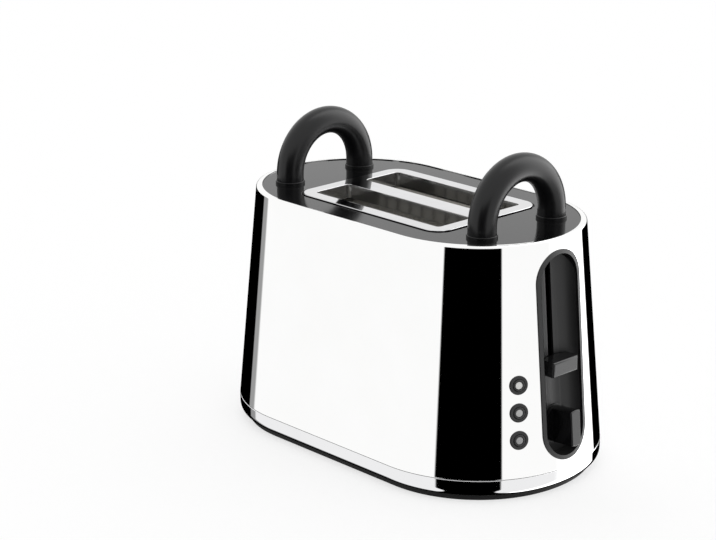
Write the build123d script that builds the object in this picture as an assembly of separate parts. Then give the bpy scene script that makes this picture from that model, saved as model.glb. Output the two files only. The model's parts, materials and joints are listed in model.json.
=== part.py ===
from build123d import *
import os
from math import atan2, copysign, cos, radians, sin, sqrt, tan

# Two-slot toaster: a mirror-polished steel body with a slight draft, drawn in at the foot by a
# rolled ring, a black lid with a bright slot frame, two black arch handles, and an end recess
# that holds the lever and the browning knob beside a column of three push buttons.
# Frame: millimetres, +Z up from the table, origin under the middle of the body,
# +X along the body towards the lever end, -Y the long side with the buttons nearest to it.
# The lever is latched down, as when toast is being made.

# Body plan, at the seam between the shell and the foot ring
BODY_LENGTH = 317.0
BODY_WIDTH = 190.0
CORNER_OFFSET = 3.5
END_EXTRA = 13.5
BODY_TOP = 190.0
SEAM_Z = 18.0
SEAM_GAP = 0.6
DRAFT_ANGLE = 5.125

# Steel shell
SHELL_WALL = 1.2
SHELL_TOP_ROLL = 2.2
LIP_FLAT = 0.2

# Rolled foot ring, moulded base pan and the soft foot under them
RING_BOTTOM = 4.5
RING_WALL = 1.5
RING_ROLL = 6.5
RING_LIP = 1.7
FOOT_HEIGHT = 4.4
FOOT_INSET = 6.6
FOOT_BAND = 15.4
FOOT_EDGE = 1.0
PAN_WALL = 2.0
PAN_FLOOR = 2.05
PAN_RIM_Z = 21.0
PAN_FIT = 0.3
PAN_LIFT = 0.15
NECK_FIT = 0.2

# Lid and slot frame. The lid's outline is rounder at its corners than the body's
LID_DROP = 0.7
LID_CORNER_OFFSET = -3.5
LID_END_EXTRA = -13.5
LID_PLATE = 3.0
LID_FIT = 0.2
LID_STEP = 0.5
LID_STEP_LOW = 4.2
LID_STEP_HIGH = 1.7
FRAME_BORDER = 10.5
FRAME_RISE = 1.0
FRAME_CORNER = 14.0
FRAME_EDGE = 0.4
FRAME_GROOVE = 1.6
FRAME_GROOVE_DEPTH = 1.2
SLOT_LENGTH = 132.0
SLOT_WIDTH = 35.6
SLOT_PITCH = 53.2
SLOT_CORNER = 3.5
SKIRT_WALL = 1.0
SKIRT_DROP = 10.0
SKIRT_FIT = 0.3

# Arch handles
HANDLE_INSET = 55.65
LEG_SPACING = 74.7
HANDLE_TUBE_RADIUS = 10.6
LEG_RISE = 6.4
COLLAR_BAND = 0.8
COLLAR_HEIGHT = 2.4
COLLAR_FIT = 0.1
COLLAR_EDGE = 0.5
HANDLE_BOSS_RADIUS = 8.0
HANDLE_BOSS_DROP = 2.6
HANDLE_SCREW_RADIUS = 2.5
HANDLE_SCREW_GRIP = 13.0
HANDLE_SCREW_HEAD_RADIUS = 4.5
HANDLE_SCREW_HEAD = 3.0
SCREW_FIT = 0.1

# End recess with its concave channel
RECESS_MID_Z = 102.85
RECESS_WIDTH = 40.0
RECESS_HEIGHT = 151.3
RIM_WIDTH = 3.2
RIM_PROUD = 0.8
RIM_SEAT = 0.05
CHANNEL_DEPTH = 12.5
CHANNEL_RADIUS = 26.4
LINER_WALL = 2.0
LINER_FIT = 0.2
LEVER_SLOT_WIDTH = 6.0
LEVER_SLOT_MARGIN = 3.0

# Lever, arm and carriage
LEVER_TRAVEL = 70.0
LEVER_Z = 94.5
LEVER_WIDTH = 26.5
LEVER_HEIGHT = 11.5
LEVER_PROUD = 2.0
LEVER_GAP = 1.4
LEVER_EDGE = 1.6
LEVER_FACE_WALL = 3.0
ARM_THICKNESS = 3.0
ARM_HEIGHT = 6.0
ARM_FIT = 0.15
ARM_GRIP = 3.6
CARRIAGE_GAP = 10.0
CARRIAGE_DEPTH = 12.0
CARRIAGE_WIDTH = 62.0
CARRIAGE_LOW = 36.0
CARRIAGE_HIGH = 64.0
MAST_THICKNESS = 4.0
MAST_WIDTH = 16.0
MAST_TOP = 100.0
ROD_STEP = 6.0
ROD_SPACING = 28.0
ROD_RADIUS = 2.5
ROD_FIT = 0.1
ROD_SOCKET = 3.0
ROD_BOSS_RADIUS = 5.0
ROD_BOSS_HEIGHT = 6.0
SPRING_STEP = 3.0
SPRING_RADIUS = 4.0
SPRING_WIRE = 1.0
SPRING_HANGER = 9.0
RACK_Z = 46.5
RACK_PLATE = 1.5
RACK_WIDTH = 12.0
RACK_WEB = 1.5
RACK_WEB_DEPTH = 6.5
RACK_END_GAP = 4.0
RACK_TAIL = 5.0
RACK_NOTCHES = 9
RACK_NOTCH = 4.0

# Hold-down magnet
MAGNET_STEP = 18.0
MAGNET_LENGTH = 22.0
MAGNET_WIDTH = 16.0
MAGNET_PLATE = 2.5
MAGNET_LEG = 3.0
MAGNET_TOP = 30.0
MAGNET_CORE_RADIUS = 3.0
COIL_RADIUS = 7.5
COIL_FIT = 0.1
COIL_MARGIN = 1.0
LATCH_GAP = 0.3
LATCH_PLATE = 1.5
LATCH_WIDTH = 18.0
LATCH_TOP = 60.0

# Toasting chamber
CHAMBER_LENGTH = 140.0
CHAMBER_MARGIN = 5.6
CHAMBER_PLATE = 1.0
CHAMBER_TOP = 179.5
RACK_PASS = 4.6
RACK_PASS_MARGIN = 1.6
BOARD_THICKNESS = 1.0
BOARD_INSET = 5.0
BOARD_LOW = 22.0
BOARD_HIGH = 178.0
RIBBON_THICKNESS = 0.3
RIBBON_HEIGHT = 1.6
RIBBON_LENGTH = 128.0
RIBBON_ROWS = 11
RIBBON_PITCH = 12.0
RIBBON_FIRST_Z = 40.0
GUARD_INSET = 2.1
GUARD_BAR_RADIUS = 1.0
GUARD_WIRE_RADIUS = 0.8
GUARD_WIRES = 10
GUARD_WIRE_PITCH = 13.0
GUARD_LOW = 36.0
GUARD_HIGH = 176.0

# Rails, crumb tray and its front
RAIL_HEIGHT = 8.8
RAIL_WIDTH = 7.0
RAIL_INSET = 24.5
END_RIB_THICKNESS = 4.0
TRAY_INSET = 5.5
TRAY_SHEET = 0.8
TRAY_LIFT = 0.3
TRAY_WALL_HEIGHT = 6.5
TRAY_END_X = 66.0
TRAY_SIDE_FIT = 0.5
TRAY_FRONT_MARGIN = 3.0
TRAY_FRONT_DEPTH = 8.0
TRAY_FRONT_LOW = 8.6
TRAY_FRONT_FIT = 0.4
SCOOP_LENGTH = 46.0
SCOOP_DEPTH = 5.6
SCOOP_LOW = 10.0
SCOOP_HIGH = 15.4

# Push buttons
BUTTON_ANGLE = 25.3
BUTTON_MID_Z = 67.4
BUTTON_PITCH = 20.5
BUTTON_TRAVEL = 1.5
BEZEL_RADIUS = 7.1
BEZEL_PROUD = 0.8
BEZEL_TUBE_RADIUS = 5.8
BEZEL_HOLE_FIT = 0.2
CAP_RADIUS = 4.5
CAP_FIT = 0.15
CAP_PROUD = 1.4
CAP_EDGE = 0.6
CAP_SKIRT = 6.0
CAP_STEM_RADIUS = 1.6
BUTTON_BOARD_DEPTH = 16.4
BUTTON_BOARD_WIDTH = 20.0
BUTTON_BOARD_MARGIN = 10.5
BOARD_SHEET = 1.6
SWITCH_SIZE = 5.6
SWITCH_HEIGHT = 4.0
SWITCH_GAP = 0.3

# Browning knob
KNOB_Z = 49.3
KNOB_RADIUS = 13.6
KNOB_SKIRT = 2.6
KNOB_GAP = 0.3
KNOB_SEAT_DEPTH = 11.5
KNOB_SEAT_MARGIN = 0.9
KNOB_GRIP_WIDTH = 9.6
KNOB_PROUD = 9.5
KNOB_EDGE = 0.8
KNOB_BOSS_WALL = 1.7
KNOB_BOSS_DROP = 3.0
SHAFT_RADIUS = 3.0
SHAFT_FIT = 0.08
SHAFT_SOCKET = 9.0
SHAFT_TAIL = 8.0
POT_SIZE = 17.0
POT_DEPTH = 10.0

# Electrical pieces and the cord inlet
CONTROL_BOARD_INSET = 46.5
CONTROL_BOARD_Y = (17.0, 62.0)
CONTROL_BOARD_TOP = 82.0
TRANSFORMER_SIZE = (16.0, 20.0, 18.0)
TRANSFORMER_Z = 30.0
RELAY_SIZE = (12.0, 16.0, 14.0)
RELAY_Z = 60.0
CAPACITOR_RADIUS = 4.0
CAPACITOR_LENGTH = 12.0
BOARD_PART_Y = (31.0, 50.0)
TERMINAL_SIZE = (20.0, 14.0, 16.0)
TERMINAL_STEP = 14.0
INLET_INSET = 103.5
INLET_Z = 33.0
INLET_BORE_RADIUS = 3.8
INLET_TUBE_RADIUS = 6.0
INLET_FLANGE_RADIUS = 9.0
INLET_FLANGE = 2.2
INLET_LENGTH = 12.0
INLET_NUT = 3.0
INLET_FIT = 0.1

# Screws that hold the soft foot to the pan
FOOT_SCREW_INSET = 15.0
FOOT_SCREW_RADIUS = 1.5
FOOT_SCREW_HEAD_RADIUS = 3.2
FOOT_SCREW_HEAD = 1.8
FOOT_SCREW_SINK = 2.6
FOOT_SCREW_LENGTH = 11.0
FOOT_BOSS_RADIUS = 4.2
FOOT_BOSS_HEIGHT = 6.8

# Values worked out from the driving dimensions
DRAFT = tan(radians(DRAFT_ANGLE))
CORNER_RADIUS = BODY_WIDTH / 2 - CORNER_OFFSET
END_RADIUS = CORNER_RADIUS + END_EXTRA
END_X = BODY_LENGTH / 2 - END_RADIUS
CORNER_X = END_X + sqrt(END_EXTRA**2 - CORNER_OFFSET**2)
SHELL_BOTTOM = SEAM_Z + SEAM_GAP / 2
RING_TOP = SEAM_Z - SEAM_GAP / 2
TOP_INSET = (BODY_TOP - SEAM_Z) * DRAFT
LID_INSET = TOP_INSET + SHELL_TOP_ROLL + LIP_FLAT
LID_TOP = BODY_TOP - LID_DROP
PAN_BOTTOM = RING_BOTTOM + RING_WALL + PAN_LIFT
FLOOR_Z = PAN_BOTTOM + PAN_FLOOR
LIP_INSET = RING_ROLL + RING_LIP
RAIL_TOP = FLOOR_Z + RAIL_HEIGHT
LID_UNDER = BODY_TOP - LID_PLATE
SLOT_Y = (-SLOT_PITCH / 2, SLOT_PITCH / 2)
FRAME_LENGTH = SLOT_LENGTH + 2 * FRAME_BORDER
FRAME_WIDTH = SLOT_PITCH + SLOT_WIDTH + 2 * FRAME_BORDER
CHAMBER_WIDTH = SLOT_PITCH + SLOT_WIDTH + 2 * CHAMBER_MARGIN
BOARD_OFFSET = CHAMBER_WIDTH / 2 - BOARD_INSET
GUARD_OFFSET = SLOT_WIDTH / 2 - GUARD_INSET
TRAY_WIDTH = CHAMBER_WIDTH - 2 * TRAY_INSET
TRAY_FRONT_WIDTH = TRAY_WIDTH + 2 * TRAY_FRONT_MARGIN
RAIL_START = BODY_LENGTH / 2 - RAIL_INSET
LEG_Y = (-LEG_SPACING / 2, LEG_SPACING / 2)
HANDLE_X = (HANDLE_INSET - BODY_LENGTH / 2, BODY_LENGTH / 2 - HANDLE_INSET)
ROD_Y = (-ROD_SPACING / 2, ROD_SPACING / 2)
CARRIAGE_X = CHAMBER_LENGTH / 2 + CARRIAGE_GAP
CARRIAGE_FRONT = CARRIAGE_X + CARRIAGE_DEPTH
ROD_X = CARRIAGE_X + ROD_STEP
SPRING_X = CARRIAGE_X + SPRING_STEP
MAGNET_X = CARRIAGE_FRONT + MAGNET_STEP
CONTROL_BOARD_X = BODY_LENGTH / 2 - CONTROL_BOARD_INSET
INLET_X = INLET_INSET - BODY_LENGTH / 2
TERMINAL_Y = CHAMBER_WIDTH / 2 + TERMINAL_STEP
ARM_Z = LEVER_Z - ARM_HEIGHT / 2
CHANNEL_CENTRE = CHANNEL_RADIUS - CHANNEL_DEPTH
LINER_BACK = CHANNEL_DEPTH + LINER_WALL
TRAY_LOW = FLOOR_Z + TRAY_LIFT
NOTHING = 0.01


def block(x0, x1, y0, y1, z0, z1):
    """Box between two corners."""
    middle = Pos((x0 + x1) / 2, (y0 + y1) / 2, (z0 + z1) / 2)
    return middle * Box(x1 - x0, y1 - y0, z1 - z0)


def upright(x, y, z0, z1, radius):
    """Cylinder standing on z0 and ending at z1."""
    return Pos(x, y, (z0 + z1) / 2) * Cylinder(radius, z1 - z0)


def group(solids):
    """Separate solids that share one node."""
    return Compound(children=list(solids))


def arc_outline(length, width, offset, extra, z):
    """Closed outline of two flat sides, four corner arcs and two end arcs, all tangent.

    The corner arcs' centres lie offset from the middle line, and the end arcs' radius is the
    corner arcs' radius plus extra. Both are negative where the ends are tighter than the corners.
    """
    radius = width / 2 - offset
    run = sqrt(extra**2 - offset**2)
    corner_x = length / 2 - radius - extra + copysign(run, extra)
    turn = atan2(abs(offset), run)

    def corner(sign_x, sign_y):
        turns = (turn, (turn + radians(90)) / 2, radians(90))
        return [
            (sign_x * (corner_x + radius * cos(a)), sign_y * (offset + radius * sin(a)))
            for a in turns
        ]

    tip = length / 2
    front, right, left, rear = corner(1, -1), corner(1, 1), corner(-1, 1), corner(-1, -1)
    edges = [
        ThreePointArc(front[0], (tip, 0), right[0]),
        ThreePointArc(*right),
        Line(right[2], left[2]),
        ThreePointArc(*reversed(left)),
        ThreePointArc(left[0], (-tip, 0), rear[0]),
        ThreePointArc(*rear),
        Line(rear[2], front[2]),
        ThreePointArc(*reversed(front)),
    ]
    return Pos(0, 0, z) * make_face(Curve() + edges)


def plan_face(inset, z):
    """Body outline drawn in by inset."""
    length, width = BODY_LENGTH - 2 * inset, BODY_WIDTH - 2 * inset
    return arc_outline(length, width, CORNER_OFFSET, END_EXTRA, z)


def lid_prism(inset, z0, z1):
    """Upright block of the lid opening's outline, drawn in by inset."""
    length = BODY_LENGTH - 2 * LID_INSET - 2 * inset
    width = BODY_WIDTH - 2 * LID_INSET - 2 * inset
    return extrude(arc_outline(length, width, LID_CORNER_OFFSET, LID_END_EXTRA, z0), amount=z1 - z0)


def plan_prism(inset, z0, z1):
    """Upright block of the body outline."""
    return extrude(plan_face(inset, z0), amount=z1 - z0)


def drafted_body(inset, z0, z1):
    """Block whose wall leans in with the shell, inset behind its outer face."""
    start = inset + (z0 - SEAM_Z) * DRAFT
    return extrude(plan_face(start, z0), amount=z1 - z0, taper=DRAFT_ANGLE)


def end_x(z):
    """Where the middle of the end wall is at height z."""
    return BODY_LENGTH / 2 - (z - SEAM_Z) * DRAFT


def end_frame(z):
    """Frame on the middle of the lever end: x along +Y, y up the wall, z square out of it."""
    lean = radians(DRAFT_ANGLE)
    return Plane((end_x(z), 0, z), x_dir=(0, 1, 0), z_dir=(cos(lean), 0, sin(lean))).location


def button_frame(z):
    """Frame on the end wall's corner where the buttons are, z square out of the wall."""
    lean, turn = radians(DRAFT_ANGLE), radians(BUTTON_ANGLE)
    radius = CORNER_RADIUS - (z - SEAM_Z) * DRAFT
    place = (CORNER_X + radius * cos(turn), -CORNER_OFFSET - radius * sin(turn), z)
    out = (cos(turn) * cos(lean), -sin(turn) * cos(lean), sin(lean))
    return Plane(place, x_dir=(sin(turn), cos(turn), 0), z_dir=out).location


def inlet_frame():
    """Frame on the rear flat side where the cord goes in, z square out of the wall."""
    lean = radians(DRAFT_ANGLE)
    y = BODY_WIDTH / 2 - (INLET_Z - SEAM_Z) * DRAFT
    return Plane((INLET_X, y, INLET_Z), x_dir=(1, 0, 0), z_dir=(0, cos(lean), sin(lean))).location


def local_rod(z0, z1, radius):
    """Cylinder along a frame's own z."""
    return Pos(0, 0, (z0 + z1) / 2) * Cylinder(radius, z1 - z0)


def recess_prism(margin, z0, z1):
    """Recess outline with round ends, widened by margin, as a block in the recess's frame."""
    outline = SlotOverall(RECESS_HEIGHT + 2 * margin, RECESS_WIDTH + 2 * margin, rotation=90)
    return Pos(0, 0, z0) * extrude(outline, amount=z1 - z0)


def channel_round(margin):
    """Long cylinder that hollows the recess, widened by margin, in the recess's frame."""
    return Pos(0, 0, CHANNEL_CENTRE) * Rot(90, 0, 0) * Cylinder(CHANNEL_RADIUS + margin, 2 * RECESS_HEIGHT)


RECESS = end_frame(RECESS_MID_Z)
KNOB = end_frame(KNOB_Z)
INLET = inlet_frame()
BUTTON_STEP = BUTTON_PITCH / cos(radians(DRAFT_ANGLE))
BUTTON_COLUMN = button_frame(BUTTON_MID_Z)
BUTTONS = {
    "top": BUTTON_COLUMN * Pos(0, BUTTON_STEP, 0),
    "middle": BUTTON_COLUMN,
    "bottom": BUTTON_COLUMN * Pos(0, -BUTTON_STEP, 0),
}


def outer_shell():
    """Drafted steel wall with its top edge rolled in, open for the lid, recess, buttons and inlet."""
    outer = drafted_body(0, SHELL_BOTTOM, BODY_TOP)
    outer = fillet(outer.faces().sort_by(Axis.Z)[-1].edges(), SHELL_TOP_ROLL)
    inner = drafted_body(SHELL_WALL, SHELL_BOTTOM, BODY_TOP - SHELL_WALL)
    inner = fillet(inner.faces().sort_by(Axis.Z)[-1].edges(), SHELL_TOP_ROLL - SHELL_WALL)
    shell = outer - inner - lid_prism(0, LID_UNDER, BODY_TOP + SHELL_WALL)
    reach = CHANNEL_DEPTH
    shell -= RECESS * recess_prism(LINER_WALL + LINER_FIT, -reach, reach)
    for frame in BUTTONS.values():
        shell -= frame * local_rod(-CAP_SKIRT, CAP_SKIRT, BEZEL_TUBE_RADIUS + BEZEL_HOLE_FIT)
    shell -= INLET * local_rod(-INLET_NUT, INLET_NUT, INLET_TUBE_RADIUS + INLET_FIT)
    return shell


def ring_solid(inset, z0, roll):
    """Upright block of the body outline with its foot rolled in."""
    solid = plan_prism(inset, z0, RING_TOP)
    return fillet(solid.faces().sort_by(Axis.Z)[0].edges(), roll)


def tray_opening(fit, z0):
    """Block that opens the tray end of the base, as wide as the tray's front plus fit."""
    half = TRAY_FRONT_WIDTH / 2 + fit
    return block(-BODY_LENGTH, -RAIL_START, -half, half, z0, PAN_RIM_Z + SEAM_GAP)


def base_ring():
    """Bright ring under the shell, rolled in towards the table and open for the crumb tray."""
    inner = plan_prism(RING_WALL, RING_BOTTOM + RING_WALL, RING_TOP)
    inner = fillet(inner.faces().sort_by(Axis.Z)[0].edges(), RING_ROLL - RING_WALL)
    ring = ring_solid(0, RING_BOTTOM, RING_ROLL) - inner
    ring -= plan_prism(LIP_INSET, RING_BOTTOM - RING_WALL, RING_BOTTOM + 2 * RING_WALL)
    return ring - tray_opening(TRAY_FRONT_FIT, TRAY_FRONT_LOW - TRAY_FRONT_FIT)


def screw_places():
    """Plan positions of the foot screws: two at the flat sides and one in each corner."""
    radius = CORNER_RADIUS - FOOT_SCREW_INSET
    side = BODY_WIDTH / 2 - FOOT_SCREW_INSET
    x = CORNER_X + radius * cos(radians(45))
    y = CORNER_OFFSET + radius * sin(radians(45))
    return [(0, side), (0, -side), (x, y), (x, -y), (-x, y), (-x, -y)]


def foot_ring():
    """Soft ring that the toaster stands on, with a sunk hole for each screw."""
    ring = plan_prism(FOOT_INSET, 0, FOOT_HEIGHT)
    ring = fillet(ring.faces().sort_by(Axis.Z)[0].edges(), FOOT_EDGE)
    ring -= plan_prism(FOOT_INSET + FOOT_BAND, -FOOT_HEIGHT, 2 * FOOT_HEIGHT)
    for x, y in screw_places():
        ring -= upright(x, y, -FOOT_HEIGHT, 2 * FOOT_HEIGHT, FOOT_SCREW_RADIUS + SCREW_FIT)
        ring -= upright(x, y, -FOOT_HEIGHT, FOOT_SCREW_SINK, FOOT_SCREW_HEAD_RADIUS + SCREW_FIT)
    return ring


def foot_screws():
    """Flat-headed screws from under the foot into the pan's bosses."""
    screws = []
    for x, y in screw_places():
        head = upright(x, y, FOOT_SCREW_SINK - FOOT_SCREW_HEAD, FOOT_SCREW_SINK, FOOT_SCREW_HEAD_RADIUS)
        shank = upright(x, y, FOOT_SCREW_SINK, FOOT_SCREW_SINK + FOOT_SCREW_LENGTH, FOOT_SCREW_RADIUS)
        screws.append(head + shank)
    return group(screws)


def base_pan():
    """Moulded base: floor, rim inside the shell, tray rails, end rib, rod sockets and screw bosses."""
    inset = RING_WALL + PAN_FIT
    roll = RING_ROLL - RING_WALL - PAN_FIT
    pan = plan_prism(inset, PAN_BOTTOM, PAN_RIM_Z)
    pan = fillet(pan.faces().sort_by(Axis.Z)[0].edges(), roll)
    pan -= plan_prism(inset + PAN_WALL, FLOOR_Z, 2 * PAN_RIM_Z)
    corner_fill = plan_prism(inset, FLOOR_Z, PAN_RIM_Z) - plan_prism(inset + roll, FLOOR_Z, PAN_RIM_Z)
    keep = ring_pan_outline(inset, roll)
    pan += keep & (corner_fill - plan_prism(inset + PAN_WALL, FLOOR_Z + PAN_WALL, 2 * PAN_RIM_Z))
    neck = plan_prism(LIP_INSET + NECK_FIT, FOOT_HEIGHT, PAN_BOTTOM + NOTHING)
    pan += neck - plan_prism(FOOT_INSET + FOOT_BAND, 0, PAN_BOTTOM)
    pan -= tray_opening(TRAY_FRONT_FIT, FLOOR_Z)
    rail_inner = TRAY_WIDTH / 2 + TRAY_SIDE_FIT
    for side in (-1, 1):
        y0, y1 = sorted((side * rail_inner, side * (rail_inner + RAIL_WIDTH)))
        pan += block(-RAIL_START, TRAY_END_X, y0, y1, FLOOR_Z - NOTHING, RAIL_TOP)
    rib_middle = CHAMBER_LENGTH / 2 + CHAMBER_PLATE / 2
    rib_half = rail_inner + RAIL_WIDTH
    rib_start = rib_middle - END_RIB_THICKNESS / 2
    rib_end = rib_middle + END_RIB_THICKNESS / 2
    pan += block(rib_start, rib_end, -rib_half, rib_half, FLOOR_Z - NOTHING, RAIL_TOP)
    for y in ROD_Y:
        pan += upright(ROD_X, y, FLOOR_Z - NOTHING, FLOOR_Z + ROD_BOSS_HEIGHT, ROD_BOSS_RADIUS)
        socket = FLOOR_Z + ROD_BOSS_HEIGHT - ROD_SOCKET
        pan -= upright(ROD_X, y, socket, FLOOR_Z + 2 * ROD_BOSS_HEIGHT, ROD_RADIUS + ROD_FIT)
    for x, y in screw_places():
        pan += upright(x, y, FLOOR_Z - NOTHING, FLOOR_Z + FOOT_BOSS_HEIGHT, FOOT_BOSS_RADIUS)
        hole_top = FOOT_SCREW_SINK + FOOT_SCREW_LENGTH
        pan -= upright(x, y, 0, hole_top, FOOT_SCREW_RADIUS + SCREW_FIT)
    return pan


def ring_pan_outline(inset, roll):
    """Space that the base pan may fill inside the rolled ring."""
    solid = plan_prism(inset, PAN_BOTTOM, PAN_RIM_Z)
    return fillet(solid.faces().sort_by(Axis.Z)[0].edges(), roll)


def slot_block(margin, z0, z1):
    """The two toast slots, widened by margin, as blocks from z0 to z1."""
    radius = SLOT_CORNER + margin
    blocks = Part()
    for y in SLOT_Y:
        outline = RectangleRounded(SLOT_LENGTH + 2 * margin, SLOT_WIDTH + 2 * margin, radius)
        blocks += Pos(0, y, z0) * extrude(outline, amount=z1 - z0)
    return blocks


def top_cover():
    """Black lid with openings for the slot skirts and bosses for the handles, rods and spring."""
    lid = lid_prism(LID_FIT, LID_UNDER, LID_TOP)
    low, high = BODY_TOP - LID_STEP_LOW, BODY_TOP - LID_STEP_HIGH
    lid += lid_prism(LID_FIT - LID_STEP, low, high)
    for x in HANDLE_X:
        for y in LEG_Y:
            lid += upright(x, y, low - HANDLE_BOSS_DROP, LID_UNDER, HANDLE_BOSS_RADIUS)
            lid -= upright(x, y, 0, 2 * BODY_TOP, HANDLE_SCREW_RADIUS + SCREW_FIT)
    for y in ROD_Y:
        lid += upright(ROD_X, y, low - ROD_BOSS_HEIGHT, LID_UNDER, ROD_BOSS_RADIUS)
        lid -= upright(ROD_X, y, 0, low - ROD_BOSS_HEIGHT + ROD_SOCKET, ROD_RADIUS + ROD_FIT)
    lid += upright(SPRING_X, 0, low - SPRING_HANGER, LID_UNDER, SPRING_RADIUS)
    groove = frame_block(FRAME_GROOVE, LID_TOP - FRAME_GROOVE_DEPTH, BODY_TOP)
    lid -= groove - frame_block(0, 0, 2 * BODY_TOP)
    return lid - slot_block(SKIRT_WALL + SKIRT_FIT, 0, 2 * BODY_TOP)


def frame_block(margin, z0, z1):
    """Outline of the slot frame, widened by margin, as a block from z0 to z1."""
    length, width = FRAME_LENGTH + 2 * margin, FRAME_WIDTH + 2 * margin
    outline = RectangleRounded(length, width, FRAME_CORNER + margin)
    return Pos(0, 0, z0) * extrude(outline, amount=z1 - z0)


def slot_frame():
    """Bright frame round both slots, with a skirt that lines each slot."""
    frame = frame_block(0, LID_TOP, LID_TOP + FRAME_RISE)
    frame = fillet(frame.faces().sort_by(Axis.Z)[-1].edges(), FRAME_EDGE)
    frame += slot_block(SKIRT_WALL, LID_TOP - SKIRT_DROP, LID_TOP + NOTHING)
    return frame - slot_block(0, 0, 2 * BODY_TOP)


def handle(x):
    """Black arch: two short legs joined by a half round of the same tube."""
    arch_z = BODY_TOP + LEG_RISE
    half = LEG_SPACING / 2
    section = Pos(half, 0, 0) * Circle(HANDLE_TUBE_RADIUS)
    bend = revolve(section, Axis((0, 0, 0), (0, 1, 0)), revolution_arc=180)
    if bend.bounding_box().max.Z < HANDLE_TUBE_RADIUS:
        bend = Rot(180, 0, 0) * bend
    arch = Pos(x, 0, arch_z) * Rot(0, 0, 90) * bend
    for y in LEG_Y:
        arch += upright(x, y, LID_TOP, arch_z, HANDLE_TUBE_RADIUS)
        arch -= upright(x, y, 0, BODY_TOP + HANDLE_SCREW_GRIP + SCREW_FIT, HANDLE_SCREW_RADIUS + SCREW_FIT)
    return arch


def handle_collars():
    """Ring round the foot of each handle leg."""
    collars = []
    inner = HANDLE_TUBE_RADIUS + COLLAR_FIT
    for x in HANDLE_X:
        for y in LEG_Y:
            collar = upright(x, y, LID_TOP, LID_TOP + COLLAR_HEIGHT, inner + COLLAR_BAND)
            collar = fillet(collar.faces().sort_by(Axis.Z)[-1].edges(), COLLAR_EDGE)
            collars.append(collar - upright(x, y, 0, 2 * BODY_TOP, inner))
    return group(collars)


def handle_screws():
    """Screws from under the lid into the handle legs."""
    seat = BODY_TOP - LID_STEP_LOW - HANDLE_BOSS_DROP
    screws = []
    for x in HANDLE_X:
        for y in LEG_Y:
            head = upright(x, y, seat - HANDLE_SCREW_HEAD, seat, HANDLE_SCREW_HEAD_RADIUS)
            shank = upright(x, y, seat, BODY_TOP + HANDLE_SCREW_GRIP, HANDLE_SCREW_RADIUS)
            screws.append(head + shank)
    return group(screws)


def knob_pocket(margin, z0, z1):
    """Round space for the knob, widened by margin, in the world frame."""
    return KNOB * local_rod(z0, z1, KNOB_RADIUS + KNOB_SEAT_MARGIN + margin)


def control_liner():
    """Moulded recess: concave channel, rim over the shell's edge, lever slot and knob seat."""
    reach = 2 * LINER_BACK
    cup = RECESS * (recess_prism(LINER_WALL, -reach, reach) & channel_round(LINER_WALL))
    cup += knob_pocket(KNOB_BOSS_WALL, -LINER_BACK, -CHANNEL_DEPTH / 3)
    cup -= RECESS * (recess_prism(0, -reach, reach) & channel_round(0))
    cup -= knob_pocket(0, -KNOB_SEAT_DEPTH, reach)
    cup += knob_pocket(NOTHING, -LINER_BACK, -KNOB_SEAT_DEPTH)
    cup = cup & drafted_body(-RIM_PROUD, SHELL_BOTTOM, BODY_TOP)
    rim = RECESS * (recess_prism(RIM_WIDTH, -reach, reach) - recess_prism(0, -2 * reach, 2 * reach))
    rim = rim & (drafted_body(-RIM_PROUD, SHELL_BOTTOM, BODY_TOP) - drafted_body(-RIM_SEAT, SHELL_BOTTOM, BODY_TOP))
    liner = cup + rim.solids().sort_by(Axis.X)[-1]
    half = LEVER_SLOT_WIDTH / 2
    slot_low = ARM_Z - LEVER_SLOT_MARGIN
    slot_high = ARM_Z + ARM_HEIGHT + LEVER_TRAVEL + LEVER_SLOT_MARGIN
    liner -= block(CARRIAGE_FRONT, BODY_LENGTH, -half, half, slot_low, slot_high)
    return liner - KNOB * local_rod(-reach, 0, SHAFT_RADIUS + SHAFT_FIT)


def lever_knob():
    """Finger piece of the lever: flat face, rounded edges, back that follows the channel."""
    face_x = end_x(LEVER_Z) + LEVER_PROUD
    low, high = LEVER_Z - LEVER_HEIGHT / 2, LEVER_Z + LEVER_HEIGHT / 2
    half = LEVER_WIDTH / 2
    back = face_x - LEVER_PROUD - CHANNEL_DEPTH
    body = block(back, face_x, -half, half, low, high)
    body = fillet(body.faces().sort_by(Axis.X)[-1].edges(), LEVER_EDGE)
    body = body & (RECESS * channel_round(-LEVER_GAP))
    gap = ARM_THICKNESS / 2 + ARM_FIT
    pocket_low, pocket_high = ARM_Z - ARM_FIT, ARM_Z + ARM_HEIGHT + ARM_FIT
    return body - block(back, face_x - LEVER_FACE_WALL, -gap, gap, pocket_low, pocket_high)


def lever_arm():
    """Flat bar from the carriage mast through the recess's slot into the lever."""
    tip = end_x(LEVER_Z) - (CHANNEL_DEPTH - LEVER_GAP) + ARM_GRIP
    half = ARM_THICKNESS / 2
    return block(CARRIAGE_FRONT, tip, -half, half, ARM_Z, ARM_Z + ARM_HEIGHT)


def carriage():
    """Moulded carriage on the guide rods, with the mast that holds the lever arm."""
    half = CARRIAGE_WIDTH / 2
    body = block(CARRIAGE_X, CARRIAGE_FRONT, -half, half, CARRIAGE_LOW, CARRIAGE_HIGH)
    mast = MAST_WIDTH / 2
    body += block(CARRIAGE_FRONT - MAST_THICKNESS, CARRIAGE_FRONT, -mast, mast, CARRIAGE_LOW, MAST_TOP)
    for y in ROD_Y:
        body -= upright(ROD_X, y, 0, BODY_TOP, ROD_RADIUS + ROD_FIT)
    return body


def guide_rods():
    """Two polished rods between the base pan and the lid."""
    low = FLOOR_Z + ROD_BOSS_HEIGHT - ROD_SOCKET
    high = BODY_TOP - LID_STEP_LOW - ROD_BOSS_HEIGHT + ROD_SOCKET
    return group(upright(ROD_X, y, low, high, ROD_RADIUS) for y in ROD_Y)


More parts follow.
